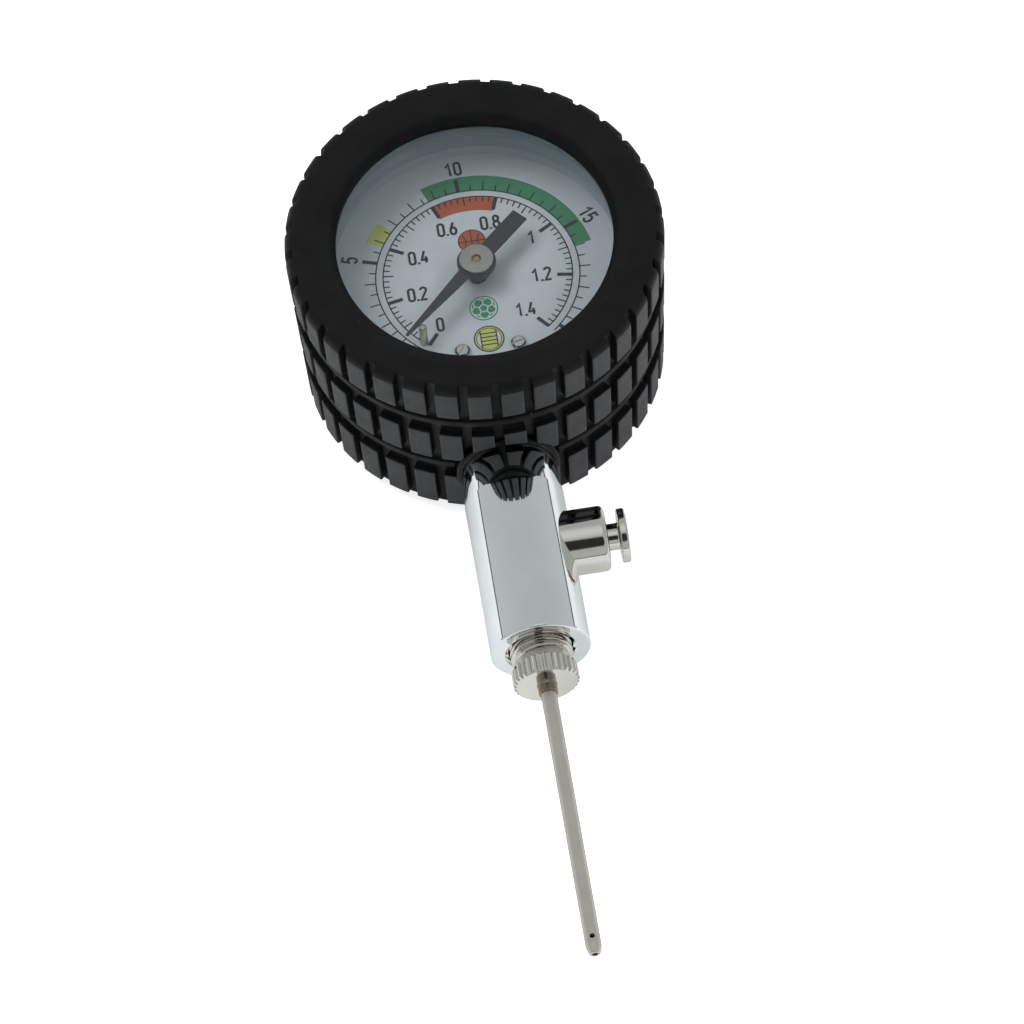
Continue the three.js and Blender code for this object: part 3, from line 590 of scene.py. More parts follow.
def case_shell():
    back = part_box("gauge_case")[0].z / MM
    inner = CASE_R - 0.7
    floor = CASE_BACK + 0.8
    shell = turned("case_shell", [
        (0, back, 0),
        (CASE_PAD_R, back, 0.3),
        (CASE_PAD_R + 0.5, CASE_BACK, 0.4),
        (CASE_R, CASE_BACK, 1.2),
        (CASE_R, CASE_RIM, 0.15),
        (inner, CASE_RIM, 0.15),
        (inner, floor, 0.5),
        (0, floor, 0),
    ], CASE_PAINT, segments=FINE)
    settle(shell, "gauge", "black_steel", "gauge_case")


def dial_wall():
    """The white ring round the dial, with a rounded foot and a small step near its top."""
    foot = DIAL_FACE + 0.01
    outer = CASE_R - 0.75
    inner = DIAL_R + 0.12
    step = DIAL_R + 0.25
    wall = turned("dial_wall", [
        (DIAL_R - 0.35, foot, 0.02),
        (outer, foot, 0),
        (outer, CASE_RIM, 0),
        (step, CASE_RIM, 0.12),
        (step, CASE_RIM - 1.7, 0.06),
        (inner, CASE_RIM - 1.8, 0.06),
        (inner, DIAL_FACE + 1.0, 0.2),
        (DIAL_R - 0.2, DIAL_FACE + 0.35, 0.3),
    ], WALL_WHITE, segments=FINE)
    settle(wall, "gauge", "white_plastic", "spacer_ring")


def window():
    """The lens and its gasket."""
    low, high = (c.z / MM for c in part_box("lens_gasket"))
    gasket = turned("window_gasket", [
        (DIAL_R + 0.35, low, 0.15),
        (LENS_R, low, 0.15),
        (LENS_R, high, 0.15),
        (DIAL_R + 0.35, high, 0.15),
    ], SEAL, segments=FINE)
    settle(gasket, "gauge", "seal_rubber", "lens_gasket")
    pane = turned("window", [
        (0, LENS_LOW, 0),
        (LENS_R, LENS_LOW, 0.25),
        (LENS_R, LENS_HIGH, 0.35),
        (0, LENS_HIGH, 0),
    ], CLEAR, segments=FINE)
    settle(pane, "gauge", "clear_lens", "lens")


def dial_angle(bar_value):
    return ZERO_ANGLE + ANGLE_PER_BAR * bar_value


def arc_band(name, radii, start, end, material, base=0.004):
    """A flat printed band between two radii and two angles."""
    steps = max(6, int(abs(end - start) / 1.5))
    angles = [start + (end - start) * k / steps for k in range(steps + 1)]
    inner, outer = radii
    outline = [polar(outer, a) for a in angles] + [polar(inner, a) for a in reversed(angles)]
    if end < start:
        outline.reverse()
    return prism(name, outline, DIAL_FACE + base, DIAL_FACE + base + INK_LIFT, material)


def printed_line(start, end, width, material=INK, base=0.022):
    """A straight printed line between two places on the dial."""
    a, b = Vector(start), Vector(end)
    along = (b - a).normalized()
    side = Vector((-along.y, along.x)) * width / 2
    outline = [tuple(p) for p in (a - side, b - side, b + side, a + side)]
    return prism("line", outline, DIAL_FACE + base, DIAL_FACE + base + INK_LIFT, material)


def tick(angle, r0, r1, width):
    return printed_line(polar(r0, angle), polar(r1, angle), width)


def ribbon(points, width, closed=False, base=0.03):
    """A printed stroke of even width along a path on the dial."""
    low, high = DIAL_FACE + base, DIAL_FACE + base + INK_LIFT
    count = len(points)
    sections = []
    for i, point in enumerate(points):
        here = Vector(point)
        before = Vector(points[i - 1]) if i or closed else None
        after = Vector(points[(i + 1) % count]) if i + 1 < count or closed else None
        into = (here - before).normalized() if before else (after - here).normalized()
        out = (after - here).normalized() if after else into
        along = (into + out).normalized()
        stretch = min(1 / max(along.dot(into), 0.2), 1.6)
        side = Vector((-along.y, along.x)) * width / 2 * stretch
        left, right = here + side, here - side
        sections.append([(*left, low), (*right, low), (*right, high), (*left, high)])
    return made("stroke", *loft(sections, ring=closed), INK)


def bow(x, y, rx, ry, start, end, steps=14):
    """Points of an elliptical arc."""
    turn = [(start + (end - start) * k / steps) * DEG for k in range(steps + 1)]
    return [(x + rx * math.cos(a), y + ry * math.sin(a)) for a in turn]


def digit_strokes(digit):
    """(path, closed) of each stroke of a plain gauge numeral, in a box GLYPH_W wide and 1 high."""
    w, r = GLYPH_W, GLYPH_W / 2
    if digit == "0":
        return [(bow(r, 1 - r, r, r, 0, 180) + bow(r, r, r, r, 180, 360), True)]
    if digit == "1":
        return [([(0.02, 0.72), (w * 0.62, 1.0), (w * 0.62, 0)], False)]
    if digit == "2":
        return [(bow(r, 1 - r, r, r, 175, -28) + [(0, 0), (w, 0)], False)]
    if digit == "4":
        return [([(w * 0.58, 1.0), (0, 0.26), (w * 1.08, 0.26)], False),
                ([(w * 0.76, 0.52), (w * 0.76, 0)], False)]
    if digit == "5":
        return [([(w * 0.94, 1), (0.03, 1), (0, 0.52)] + bow(r, 0.31, r, 0.31, 128, -150, 20), False)]
    if digit == "6":
        loop = bow(r, 0.29, r, 0.29, 0, 345, 24)
        return [(loop, True), ([(w * 0.05, 0.4), (w * 0.62, 1.0)], False)]
    upper = bow(r, 0.77, r * 0.88, 0.23, 0, 345, 22)
    lower = bow(r, 0.27, r, 0.27, 0, 345, 22)
    return [(upper, True), (lower, True)]


def number(text, angle, radius, height, turn=0.0):
    """A number centred at a place on the dial, as thin printed strokes."""
    stroke, gap, dot = 0.15, 0.20, 0.06
    advance = [dot if c == "." else GLYPH_W for c in text]
    total = sum(advance) + gap * (len(text) - 1)
    centre = Vector(polar(radius, angle))
    spin = Matrix.Rotation(turn * DEG, 2)
    size = height * (1 - stroke)
    point = [([(dot / 2, -stroke * 0.4), (dot / 2, stroke * 0.6)], False)]
    parts = []
    x = -total / 2
    for c, width in zip(text, advance):
        strokes = point if c == "." else digit_strokes(c)
        for path, closed in strokes:
            placed = [centre + spin @ (Vector((x + px, py - 0.5)) * size) for px, py in path]
            parts.append(ribbon([tuple(q) for q in placed], stroke * height, closed))
        x += width + gap
    return parts


def bar_scale():
    """Ticks of the inner scale, one for each 0.02 bar."""
    step = 0.02
    marks = []
    for k in range(round(TOP_BAR / step) + 1):
        length, width = 0.8, LINE
        if k % 5 == 0:
            length = 1.3
        if k % 10 == 0:
            length, width = LONG_TICK, BOLD
        marks.append(tick(dial_angle(k * step), INNER_CIRCLE - length, INNER_CIRCLE, width))
    return marks


def psi_scale():
    """Ticks of the outer scale, one for each half psi."""
    marks = []
    for k in range(int(TOP_BAR * PSI_PER_BAR * 2) + 1):
        length, width = 0.9, LINE
        if k % 2 == 0:
            length = 1.4
        if k % 10 == 0 and k:
            length, width = LONG_TICK, BOLD
        angle = dial_angle(k / 2 / PSI_PER_BAR)
        marks.append(tick(angle, OUTER_CIRCLE, OUTER_CIRCLE + length, width))
    return marks


def circles_and_bands():
    ends = dial_angle(TOP_BAR) - 0.3, dial_angle(0) + 0.3
    marks = []
    for r in (INNER_CIRCLE, OUTER_CIRCLE):
        marks.append(arc_band("ring", (r - LINE / 2, r + LINE / 2), *ends, INK, base=0.02))
    for name, radii, top, bottom, ink in (
        ("green", OUTER_BAND, 1.1, 0.6, INK_GREEN),
        ("yellow", OUTER_BAND, 0.46, 0.40, INK_YELLOW),
        ("orange", INNER_BAND, 0.8, 0.6, INK_ORANGE),
    ):
        marks.append(arc_band(name, radii, dial_angle(top), dial_angle(bottom), ink))
    return marks


def scale_numbers():
    """Numbers of both scales. 0 and 1 stand a little further out, and 0 a little past its tick."""
    marks = []
    for tenths in range(0, round(TOP_BAR * 10) + 1, 2):
        value = tenths / 10
        text = f"{value:.1f}".removesuffix(".0")
        radius = 8.8 if value in (0, 1) else 8.15
        angle = dial_angle(value) - (2.5 if value == 0 else 0)
        marks += number(text, angle, radius, height=2.15)
    for psi in (5, 10, 15):
        angle = dial_angle(psi / PSI_PER_BAR)
        marks += number(str(psi), angle, radius=16.65, height=2.2, turn=angle - 90)
    return marks


def disc(x, y, r, material, base, lift=INK_LIFT, inner=0.0):
    """A printed disc, or a ring if it has an inner radius."""
    low, high = DIAL_FACE + base, DIAL_FACE + base + lift
    if not inner:
        return prism("disc", bow(x, y, r, r, 0, 360, 48)[:-1], low, high, material)
    corners = (inner, low), (r, low), (r, high), (inner, high)
    circles = [[(*point, z) for point in bow(x, y, q, q, 0, 360, 48)[:-1]] for q, z in corners]
    return made("disc", *loft(list(zip(*circles)), ring=True), material)


def inside_arc(x, y, r, cx, radius, width, base):
    """The part of a circular line, centred cx to one side, that lies inside a round icon."""
    line = bow(cx, 0, radius, radius, 0, 360, 72)
    kept = []
    for p, q in zip(line, line[1:]):
        if max(math.hypot(*p), math.hypot(*q)) < r - width / 2:
            kept.append(printed_line((x + p[0], y + p[1]), (x + q[0], y + q[1]), width, base=base))
    return kept


def basketball(x, y):
    r, seam = 1.72, 0.13
    out = [disc(x, y, r, INK_ORANGE, 0.02), disc(x, y, r + 0.07, INK, 0.02, 0.016, r - 0.06)]
    out.append(printed_line((x - r, y), (x + r, y), seam, base=0.036))
    out.append(printed_line((x, y - r), (x, y + r), seam, base=0.037))
    for side in (-1, 1):
        out += inside_arc(x, y, r, cx=2.35 * side, radius=1.6, width=seam, base=0.035)
    return out


def football(x, y):
    """A football: a pentagon, and from each corner a spoke that forks near the edge."""
    r, seam, pentagon = 1.85, 0.17, 0.62
    centre = Vector((x, y))
    out = [disc(x, y, r, INK_GREEN, 0.02)]
    out.append(disc(x, y, r - 0.16, DIAL_WHITE, 0.033, 0.008, r - 0.34))
    for k in range(5):
        corner, following = (Vector(polar(pentagon, 90 + 72 * i)) for i in (k, (k + 1) % 5))
        fork = corner * 1.95
        lines = [(corner, following), (corner, fork)]
        lines += [(fork, Vector(polar(1.6, 90 + 72 * k + lean))) for lean in (-26, 26)]
        for start, end in lines:
            out.append(printed_line(centre + start, centre + end, seam, DIAL_WHITE, base=0.034))
    return out


def volleyball(x, y):
    """A volleyball: a yellow band with ruled lines across a white disc."""
    r, seam, half = 1.75, 0.15, 1.02
    edge = math.acos(half / r) / DEG
    band = bow(x, y, r, r, edge, 180 - edge) + bow(x, y, r, r, edge + 180, 360 - edge)
    out = [disc(x, y, r, DIAL_WHITE, 0.02)]
    out.append(prism("band", band, DIAL_FACE + 0.034, DIAL_FACE + 0.04, INK_YELLOW))
    out.append(disc(x, y, r + 0.22, INK, 0.02, 0.03, r + 0.05))
    out.append(disc(x, y, r + 0.05, INK_YELLOW, 0.02, 0.03, r - 0.12))
    out.append(disc(x, y, r - 0.1, INK, 0.02, 0.032, r - 0.2))
    tall = math.sqrt(r * r - half * half) - 0.1
    for side in (x - half, x + half):
        out.append(printed_line((side, y - tall), (side, y + tall), seam, base=0.05))
    for rise in (-0.85, -0.28, 0.28, 0.85):
        out.append(printed_line((x - half, y + rise), (x + half, y + rise), seam, base=0.052))
    return out


def dial():
    hole, plate_back = 1.3, DIAL_FACE - 0.5
    plate = turned("dial_face", [
        (hole, plate_back, 0),
        (DIAL_R, plate_back, 0),
        (DIAL_R, DIAL_FACE, 0.08),
        (hole, DIAL_FACE, 0.05),
    ], DIAL_WHITE, segments=FINE)
    settle(plate, "gauge", "white_plate", "dial_plate")
    marks = bar_scale() + psi_scale() + circles_and_bands() + scale_numbers()
    marks += basketball(0, BASKETBALL_Y) + football(0, FOOTBALL_Y) + volleyball(0, VOLLEYBALL_Y)
    settle(joined("dial_markings", marks), "gauge", "white_plate")


def stop_pin():
    """The pin that the pointer rests near at zero: a thin shank and a thicker body."""
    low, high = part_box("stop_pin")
    shank, body, seat = 0.36, 0.5, DIAL_FACE + 0.04
    place = Matrix.Translation(((low.x + high.x) / 2, (low.y + high.y) / 2, 0))
    pin = turned("zero_stop", [
        (0, DIAL_FACE - 0.5, 0),
        (shank, DIAL_FACE - 0.5, 0),
        (shank, seat, 0),
        (body, seat, 0.05),
        (body, high.z / MM, 0.25),
        (0, high.z / MM, 0),
    ], SATIN, place, 40)
    settle(pin, "gauge", "nickel", "stop_pin")


def slotted_screw(name, node, material, slot, flip=False):
    """A pan-head slotted screw in the place of a CAD screw, its head up or, if flipped, down."""
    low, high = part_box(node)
    head_r = (high.x - low.x) / 2 / MM
    length = (high.z - low.z) / MM
    head = 0.6 * head_r
    shank = 0.5 * head_r
    screw = turned(name, [
        (0, 0, 0),
        (shank, 0, 0.1),
        (shank, length - head, 0.05),
        (head_r, length - head, 0.08),
        (head_r, length - 0.35 * head, 0.1),
        (head_r * 0.72, length, 0.15),
        (0, length, 0),
    ], material, segments=56)
    reach, half = 2, 0.13 * head_r
    groove = [(-reach, -half), (reach, -half), (reach, half), (-reach, half)]
    cut(screw, prism("groove", groove, length - 0.5 * head, length + 1, material))
    screw.data.transform(Matrix.Rotation(random.uniform(0, math.pi), 4, "Z"))
    if flip:
        screw.data.transform(Matrix.Rotation(math.pi, 4, "X"))
    foot = high.z if flip else low.z
    screw.data.transform(Matrix.Translation(((low.x + high.x) / 2, (low.y + high.y) / 2, foot)))
    settle(screw, "gauge", slot, node)


def pointer_blade():
    """The pointer's flat blade, from its fine tip to its broad tail."""
    length, tail = 14.1, 8.9
    upper = [(length, 0.2), (1.9, 0.93), (1.2, 1.12), (-tail, 1.12)]
    lower = [(x, -y) for x, y in upper]
    outline = [lower[0], *upper, *reversed(lower[1:])]
    direction = Matrix.Rotation(POINTER_REST * DEG, 4, "Z")
    blade = prism("pointer_blade", outline, POINTER_Z, POINTER_Z + 0.22, POINTER_PAINT, direction)
    edge = blade.modifiers.new("edge", "BEVEL")
    edge.width = 0.05 * MM
    edge.segments = 3
    settle(blade, "pointer_shaft", "pointer_black", "pointer")


def pointer_hub():
    """The black boss under the blade, and the brushed cap pressed into it."""
    foot, plate = POINTER_Z - 2.2, POINTER_Z - 0.35
    bore, neck, r = 0.95, 1.7, 2.5
    hub = turned("pointer_hub", [
        (bore, foot, 0),
        (neck, foot, 0.1),
        (neck, plate, 0.1),
        (r, plate, 0.12),
        (r, POINTER_Z + 0.3, 0.15),
        (bore, POINTER_Z + 0.3, 0),
    ], POINTER_PAINT, segments=72)
    settle(hub, "pointer_shaft", "pointer_black")
    seat, top = POINTER_Z + 0.34, POINTER_Z + 0.85
    bore, bush, r = 0.48, 0.9, 2.2
    cap = turned("pointer_cap", [
        (bore, foot, 0),
        (bush, foot, 0),
        (bush, seat, 0),
        (r, seat, 0.05),
        (r, top, 0.12),
        (0.62, top, 0.08),
        (bore, top - 0.15, 0.05),
    ], BRUSHED, segments=72)
    settle(cap, "pointer_shaft", "nickel", "pointer_bush")


# ---- Stem, needle and bleed valve


def valve_body():
    """The chromed body, with a pocket for the socket, and holes for the collar and the bleed valve."""
    passage, pocket, collar_hole, countersink = 1.2, 4.02, 4.12, 4.6
    pocket_end, hole_end = 30.3, 42.6
    body = turned("stem_body", [
        (passage, pocket_end, 0),
        (pocket, pocket_end, 0),
        (pocket, BODY_START, 0.1),
        (NECK_R, BODY_START, 0.15),
        (NECK_R, NECK_START, 1.0),
        (BODY_R, NECK_END, 2.5),
        (BODY_R, BODY_END, 0.32),
        (countersink, BODY_END, 0.12),
        (collar_hole, BODY_END - 0.5, 0.1),
        (collar_hole, hole_end, 0),
        (passage, hole_end, 0),
    ], CHROME, STEM_PLACE, FINE, smooth=25)
    start, step, end = -0.6, BARREL_START - 0.1, 8
    inner, outer = 2.3, 4.26
    seat = turned("seat", [
        (0, start, 0),
        (inner, start, 0),
        (inner, step, 0),
        (outer, step, 0),
        (outer, end, 0),
        (0, end, 0),
    ], CHROME, BLEED_PLACE)
    cut(body, seat, smooth=25)
    settle(body, "gauge", "chrome", "valve_body")


def stem_collar():
    """The glossy rubber ring where the body leaves the boot."""
    inner = NECK_R + 0.03
    end = GROMMET_END + 0.05
    collar = turned("stem_collar", [
        (inner, BODY_START, 0.05),
        (GROMMET_R, BODY_START, 0.1),
        (GROMMET_R, end, 0.85),
        (inner, end, 0.12),
    ], GLOSSY_RUBBER, STEM_PLACE, 128, steps=8)
    settle(collar, "gauge", "seal_rubber", "stem_grommet")


def bleed_housing():
    r, mouth, chamber, back_hole = 4.2, 1.82, 2.25, 1.0
    front_wall, floor = BARREL_END - 0.7, BARREL_START + 0.8
    barrel = turned("bleed_housing", [
        (back_hole, BARREL_START, 0),
        (r, BARREL_START, 0),
        (r, BARREL_END, 0.75),
        (mouth, BARREL_END, 0.1),
        (mouth, front_wall, 0),
        (chamber, front_wall, 0),
        (chamber, floor, 0),
        (back_hole, floor, 0),
    ], NICKEL, BLEED_PLACE, 112, steps=8)
    settle(barrel, "gauge", "nickel", "bleed_barrel")


def release_button():
    """The button: a pin inside, a guide that stops it in the housing, a neck, and a dished head."""
    pin, guide, neck, head, dish = 0.7, 2.1, 1.72, 3.475, 2.3
    pin_end, guide_start, guide_end = 3.4, 8.5, BARREL_END - 0.85
    back = BUTTON_FACE - 1.05
    button = turned("release_button", [
        (0, pin_end, 0),
        (pin, pin_end, 0),
        (pin, guide_start, 0),
        (guide, guide_start, 0.1),
        (guide, guide_end, 0.1),
        (neck, guide_end, 0),
        (neck, back, 0.3),
        (head, back, 0.18),
        (head, BUTTON_FACE, 0.3),
        (dish, BUTTON_FACE, 0.3),
        (dish - 0.3, BUTTON_FACE - 0.2, 0.3),
        (0, BUTTON_FACE - 0.25, 0),
    ], NICKEL, BLEED_PLACE, 112, steps=6)
    settle(button, "bleed_plunger", "nickel", "bleed_button")


def thread(start, end):
    """A closed helical thread ridge about +Z, buried a little in its root."""
    steps = 72
    count = int(((end - start) / THREAD_PITCH - 1) * steps)
    buried = THREAD_ROOT - 0.15
    lower = (buried, -0.36), (THREAD_ROOT, -0.33), (THREAD_R, -0.1)
    profile = (*lower, *((r, -h) for r, h in reversed(lower)))
    sections = []
    for i in range(count + 1):
        a = 2 * math.pi * i / steps
        taper = min(1.0, i / (steps / 4), (count - i) / (steps / 4))
        middle = start + THREAD_PITCH * (0.5 + i / steps)
        section = []
        for r, h in profile:
            radius = min(r, THREAD_ROOT) + max(0.0, r - THREAD_ROOT) * taper
            section.append((radius * math.cos(a), radius * math.sin(a), middle + h))
        sections.append(section)
    return made("thread", *loft(sections), NICKEL, 40)


def knurled_rim(bore):
    """The collar's rim, with straight teeth that are chamfered at both ends."""
    depth = 0.36
    groove = KNURL_R - depth
    half_tooth = ((0.4, 1), (0.85, 0.85), (1.35, 0.03), (1.75, 0))
    tooth = [(-across, rise) for across, rise in reversed(half_tooth)] + list(half_tooth)
    quarter = 90 / KNURL_TEETH
    outline = []
    for i in range(KNURL_TEETH):
        for across, rise in tooth:
            angle = 360 * i / KNURL_TEETH + across * quarter
            outline.append(polar(KNURL_R - depth * (1 - rise), angle))
    length = COLLAR_END - COLLAR_START
    levels = (
        (0, groove),
        (0.3, KNURL_R),
        (length - 0.32, KNURL_R),
        (length - 0.1, groove + 0.08),
        (length, groove - 0.05),
    )
    inside = [polar(bore, 360 * k / len(outline)) for k in range(len(outline))]
    sections = [[(x, y, COLLAR_START) for x, y in inside]]
    for h, limit in levels:
        shares = [min(1.0, limit / math.hypot(x, y)) for x, y in outline]
        sections.append([(x * s, y * s, COLLAR_START + h) for (x, y), s in zip(outline, shares)])
    sections.append([(x, y, COLLAR_START + length) for x, y in inside])
    return made("knurl", *loft(sections, ring=True), NICKEL, 28)


def needle_collar():
    """The threaded collar: core, smooth relief, thread, knurled rim, and a root in darker metal that is
    painted shade.
    """
    bore, spigot, core_start, shoulder = 1.03, 1.5, 43.3, 44.2
    seam = COLLAR_START + 0.02
    core = turned("core", [
        (bore, core_start, 0),
        (spigot, core_start, 0.1),
        (spigot, shoulder, 0),
        (THREAD_ROOT, shoulder, 0.2),
        (THREAD_ROOT, seam, 0),
        (bore, seam, 0),
    ], NICKEL)
    buried, proud = THREAD_ROOT - 0.3, THREAD_ROOT + 0.16
    relief = turned("relief", [
        (buried, COLLAR_START - 1.05, 0),
        (proud, COLLAR_START - 0.95, 0.15),
        (proud, seam, 0),
        (buried, seam, 0),
    ], BRUSHED)
    ridge = thread(shoulder + 0.4, COLLAR_START - 0.55)
    root_start = COLLAR_END - 0.02
    # The root's darker metal is painted shade
    root = turned("root", [
        (bore, root_start, 0),
        (1.32, root_start, 0),
        (1.22, COLLAR_END + 0.25, 0.2),
        (1.22, COLLAR_ROOT_END, 0.12),
        (bore, COLLAR_ROOT_END, 0),
    ], ROOT_SHADE, segments=64)
    whole = joined("needle_adapter", [core, relief, ridge, knurled_rim(bore), root])
    whole.data.transform(STEM_PLACE)
    settle(whole, "needle", "nickel", "needle_collar")


def needle_tube():
    """The hollow needle, with a rounded tip and a small hole in its upper side."""
    bore, outer, mouth = 0.42, 1.0, 0.36
    shaft = turned("needle_shaft", [
        (bore, NEEDLE_START, 0),
        (outer, NEEDLE_START, 0.05),
        (outer, NEEDLE_TIP - 1.1, 1.2),
        (0.66, NEEDLE_TIP, 0.28),
        (mouth, NEEDLE_TIP, 0.06),
        (mouth, NEEDLE_TIP - 1.0, 0.05),
        (bore, NEEDLE_TIP - 1.2, 0),
    ], SATIN, segments=64, steps=8)
    upward = Matrix.Rotation(-math.pi / 2, 4, "X")
    place = Matrix.Translation((0, 0, (NEEDLE_TIP - 2.1) * MM)) @ upward
    cut(shaft, plug(0.33, 0, 3, place, SATIN, segments=32))
    shaft.data.transform(STEM_PLACE)
    settle(shaft, "needle", "satin_nickel", "needle_tube")


# ---- Hidden pieces


def bent_tube():
    """The Bourdon tube, in one fixed curved shape; in the gauge its one end is held by the socket."""
    bend, half_wide, half_high = 16.0, 0.75, 2.5
    first, last, steps = -111.5, -351.0, 120
    outline = []
    for side, start in ((1, 0), (-1, 180)):
        for k in range(9):
            x, y = polar(half_wide, 22.5 * k + start)
            outline.append((x, side * (half_high - half_wide) + y))
    sections = []
    for i in range(steps + 1):
        angle = first + (last - first) * i / steps
        sections.append([(*polar(bend + x, angle), STEM_Z + z) for x, z in outline])
    tube = made("bent_tube", *loft(sections), BRASS)
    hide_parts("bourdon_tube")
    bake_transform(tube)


def valve_spring():
    """The bleed valve's coil spring, shortened by the button's travel."""
    start, end = BARREL_START + 1.05, 8.3
    coil, wire = 1.45, 0.17
    turns, steps, sides = 6, 40, 10
    sections = []
    for i in range(turns * steps + 1):
        a = 2 * math.pi * i / steps
        middle = start + (end - start) * i / (turns * steps)
        section = []
        for k in range(sides):
            u = 2 * math.pi * k / sides
            r = coil + wire * math.cos(u)
            section.append((r * math.cos(a), r * math.sin(a), middle + wire * math.sin(u)))
        sections.append(section)
    spring = made("valve_spring", *loft(sections), STEEL)
    spring.data.transform(BLEED_PLACE)
    settle(spring, "gauge", "steel", "bleed_spring")
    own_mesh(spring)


def smooth_modifier(angle):
    """A modifier that smooths every edge flatter than the angle, so that a CAD mesh stays untouched."""
    tree = bpy.data.node_groups.new("smooth_by_angle", "GeometryNodeTree")
    new, link = tree.nodes.new, tree.links.new
    for side in ("INPUT", "OUTPUT"):
        tree.interface.new_socket("Geometry", in_out=side, socket_type="NodeSocketGeometry")
    start = new("NodeGroupInput")
    end = new("NodeGroupOutput")
    faces = new("GeometryNodeSetShadeSmooth")
    faces.domain = "FACE"
    edges = new("GeometryNodeSetShadeSmooth")
    edges.domain = "EDGE"
    edges.inputs["Shade Smooth"].default_value = False
    bend = new("GeometryNodeInputMeshEdgeAngle")
    sharp = new("FunctionNodeCompare")
    sharp.data_type = "FLOAT"
    sharp.operation = "GREATER_THAN"
    sharp.inputs["B"].default_value = angle * DEG
    link(start.outputs[0], faces.inputs["Geometry"])
    link(faces.outputs["Geometry"], edges.inputs["Geometry"])
    link(bend.outputs["Unsigned Angle"], sharp.inputs["A"])
    link(sharp.outputs["Result"], edges.inputs["Selection"])
    link(edges.outputs["Geometry"], end.inputs[0])
    return tree


def carried_over():
    """CAD nodes that stay: each gets its slot's material and smooth shading."""
    looks = {"brass": BRASS, "steel": STEEL, "seal_rubber": SEAL, "nickel": NICKEL}
    slots = {row["node"]: row["material_slot"] for row in frame["record"]["subparts"]}
    smooth = smooth_modifier(28)
    for name, node in frame["nodes"].items():
        if node.hide_render:
            continue
        node.material_slots[0].link = "OBJECT"
        node.material_slots[0].material = looks[slots[name]]
        node.modifiers.new("smooth", "NODES").node_group = smooth


# ---- Stage

# The direction of the dark patch in the surround, and the place that the lights point at
DARK_PATCH = Vector((0, -0.643, 0.766))
LIGHT_TARGET = Vector((0, -0.03, 0.01))


def stage():
    """A pale floor just under the gauge. The camera sees it brighter than it lights the gauge."""
    size, below = 1.6, -0.0003
    corners = [(-size, -size, below), (size, -size, below), (size, size, below), (-size, size, below)]
    mesh = bpy.data.meshes.new("floor")
    mesh.from_pydata(corners, [], [(0, 1, 2, 3)])
    floor = in_scene("floor", mesh)
    n = Nodes("floor")
    n.set(Base_Color=(0.8, 0.81, 0.82, 1), Roughness=0.9, Specular_IOR_Level=0.0)
    n.set(Emission_Color=(1, 1, 1, 1))
    seen = n.node("ShaderNodeLightPath").outputs["Is Camera Ray"]
    n.link(n.spread(seen, 0.15, 0.75, start=0, end=1), n.shader.inputs["Emission Strength"])
    mesh.materials.append(n.material)


def world():
    """Soft studio surround: grey overhead, pale below, a thin dark line at the horizon, and a dark
    patch behind the camera."""
    surround = bpy.data.worlds.new("studio")
    bpy.context.scene.world = surround
    surround.use_nodes = True
    tree = surround.node_tree
    new, link = tree.nodes.new, tree.links.new
    direction = new("ShaderNodeTexCoord").outputs["Generated"]
    split = new("ShaderNodeSeparateXYZ")
    half = new("ShaderNodeMapRange")
    half.inputs["From Min"].default_value = -1
    ramp = new("ShaderNodeValToRGB")
    link(direction, split.inputs[0])
    link(split.outputs["Z"], half.inputs["Value"])
    link(half.outputs["Result"], ramp.inputs["Fac"])
    below, horizon = ((0.0, 0.78), (0.475, 0.78)), ((0.49, 0.05), (0.51, 0.05))
    stops = (*below, *horizon, (0.525, 0.55), (0.96, 0.49), (1.0, 0.80))
    while len(ramp.color_ramp.elements) < len(stops):
        ramp.color_ramp.elements.new(0.5)
    for element, (place, value) in zip(ramp.color_ramp.elements, stops):
        element.position = place
        element.color = (value * 0.97, value, value * 1.01, 1)
    facing = new("ShaderNodeVectorMath")
    facing.operation = "DOT_PRODUCT"
    facing.inputs[1].default_value = DARK_PATCH
    link(direction, facing.inputs[0])
    patch = new("ShaderNodeMapRange")
    patch.inputs["From Min"].default_value = math.cos(20 * DEG)
    patch.inputs["From Max"].default_value = math.cos(15 * DEG)
    link(facing.outputs["Value"], patch.inputs["Value"])
    mixed = new("ShaderNodeMix")
    mixed.data_type = "RGBA"
    mixed.inputs["B"].default_value = (0.03, 0.03, 0.03, 1)
    link(patch.outputs["Result"], mixed.inputs["Factor"])
    link(ramp.outputs["Color"], mixed.inputs["A"])
    background = tree.nodes["Background"]
    background.inputs["Strength"].default_value = 1.0
    link(mixed.outputs["Result"], background.inputs["Color"])


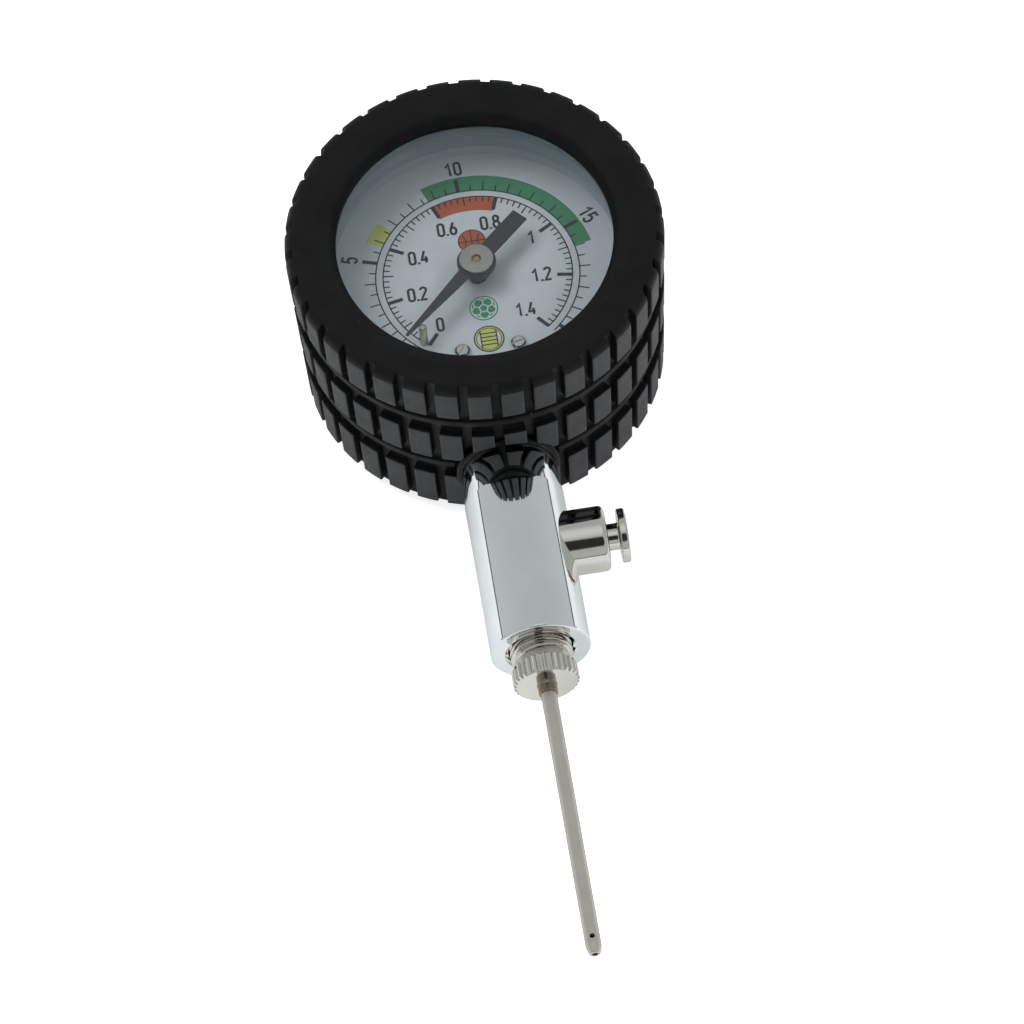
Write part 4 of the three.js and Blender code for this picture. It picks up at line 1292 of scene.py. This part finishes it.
def soft_light(name, place, size, power):
    """A rectangular light aimed at the gauge, left out of its reflections."""
    data = bpy.data.lights.new(name, "AREA")
    data.shape = "RECTANGLE"
    data.size, data.size_y = size
    data.energy = power
    lamp = in_scene(name, data)
    lamp.location = place
    lamp.visible_glossy = False
    lamp.rotation_euler = (LIGHT_TARGET - Vector(place)).to_track_quat("-Z", "Y").to_euler()


def camera():
    """The photograph's viewpoint: distance and aim in metres, and focal length in sensor widths."""
    azimuth, elevation, roll = -4.11 * DEG, 58.68 * DEG, -5.27 * DEG
    distance = 0.8215
    focal_length = 6.252
    aim = Vector((-0.13, -23.73, 0)) * MM
    level_share = math.cos(elevation)
    back = Vector((math.sin(azimuth) * level_share, -math.cos(azimuth) * level_share, math.sin(elevation)))
    level = Vector((0, 0, 1)).cross(back).normalized()
    upright = back.cross(level)
    right = level * math.cos(roll) + upright * math.sin(roll)
    up = upright * math.cos(roll) - level * math.sin(roll)
    data = bpy.data.cameras.new("camera")
    data.sensor_width = 36
    data.lens = focal_length * data.sensor_width
    data.clip_start, data.clip_end = 0.01, 20
    cam = in_scene("camera", data)
    turn = Matrix((right, up, back)).transposed().to_4x4()
    cam.matrix_world = Matrix.Translation(aim + back * distance) @ turn
    bpy.context.scene.camera = cam


random.seed(7)
boot()
case_shell()
dial_wall()
window()
dial()
stop_pin()
pointer_blade()
pointer_hub()
valve_body()
stem_collar()
bleed_housing()
release_button()
needle_collar()
needle_tube()
for side in ("left", "right"):
    slotted_screw(f"face_screw_{side}", f"dial_screw_{side}", NICKEL, "nickel")
    slotted_screw(f"back_screw_{side}", f"case_screw_{side}", STEEL, "steel", flip=True)
    slotted_screw(f"plate_screw_{side}", f"movement_screw_{side}", STEEL, "steel")
bent_tube()
valve_spring()
carried_over()
stage()
world()
soft_light("key", (-0.35, 0.25, 0.6), size=(0.45, 0.45), power=2.3)
soft_light("fill", (0.45, -0.2, 0.4), size=(0.5, 0.4), power=1.5)
camera()
bpy.context.scene.view_settings.view_transform = "Standard"
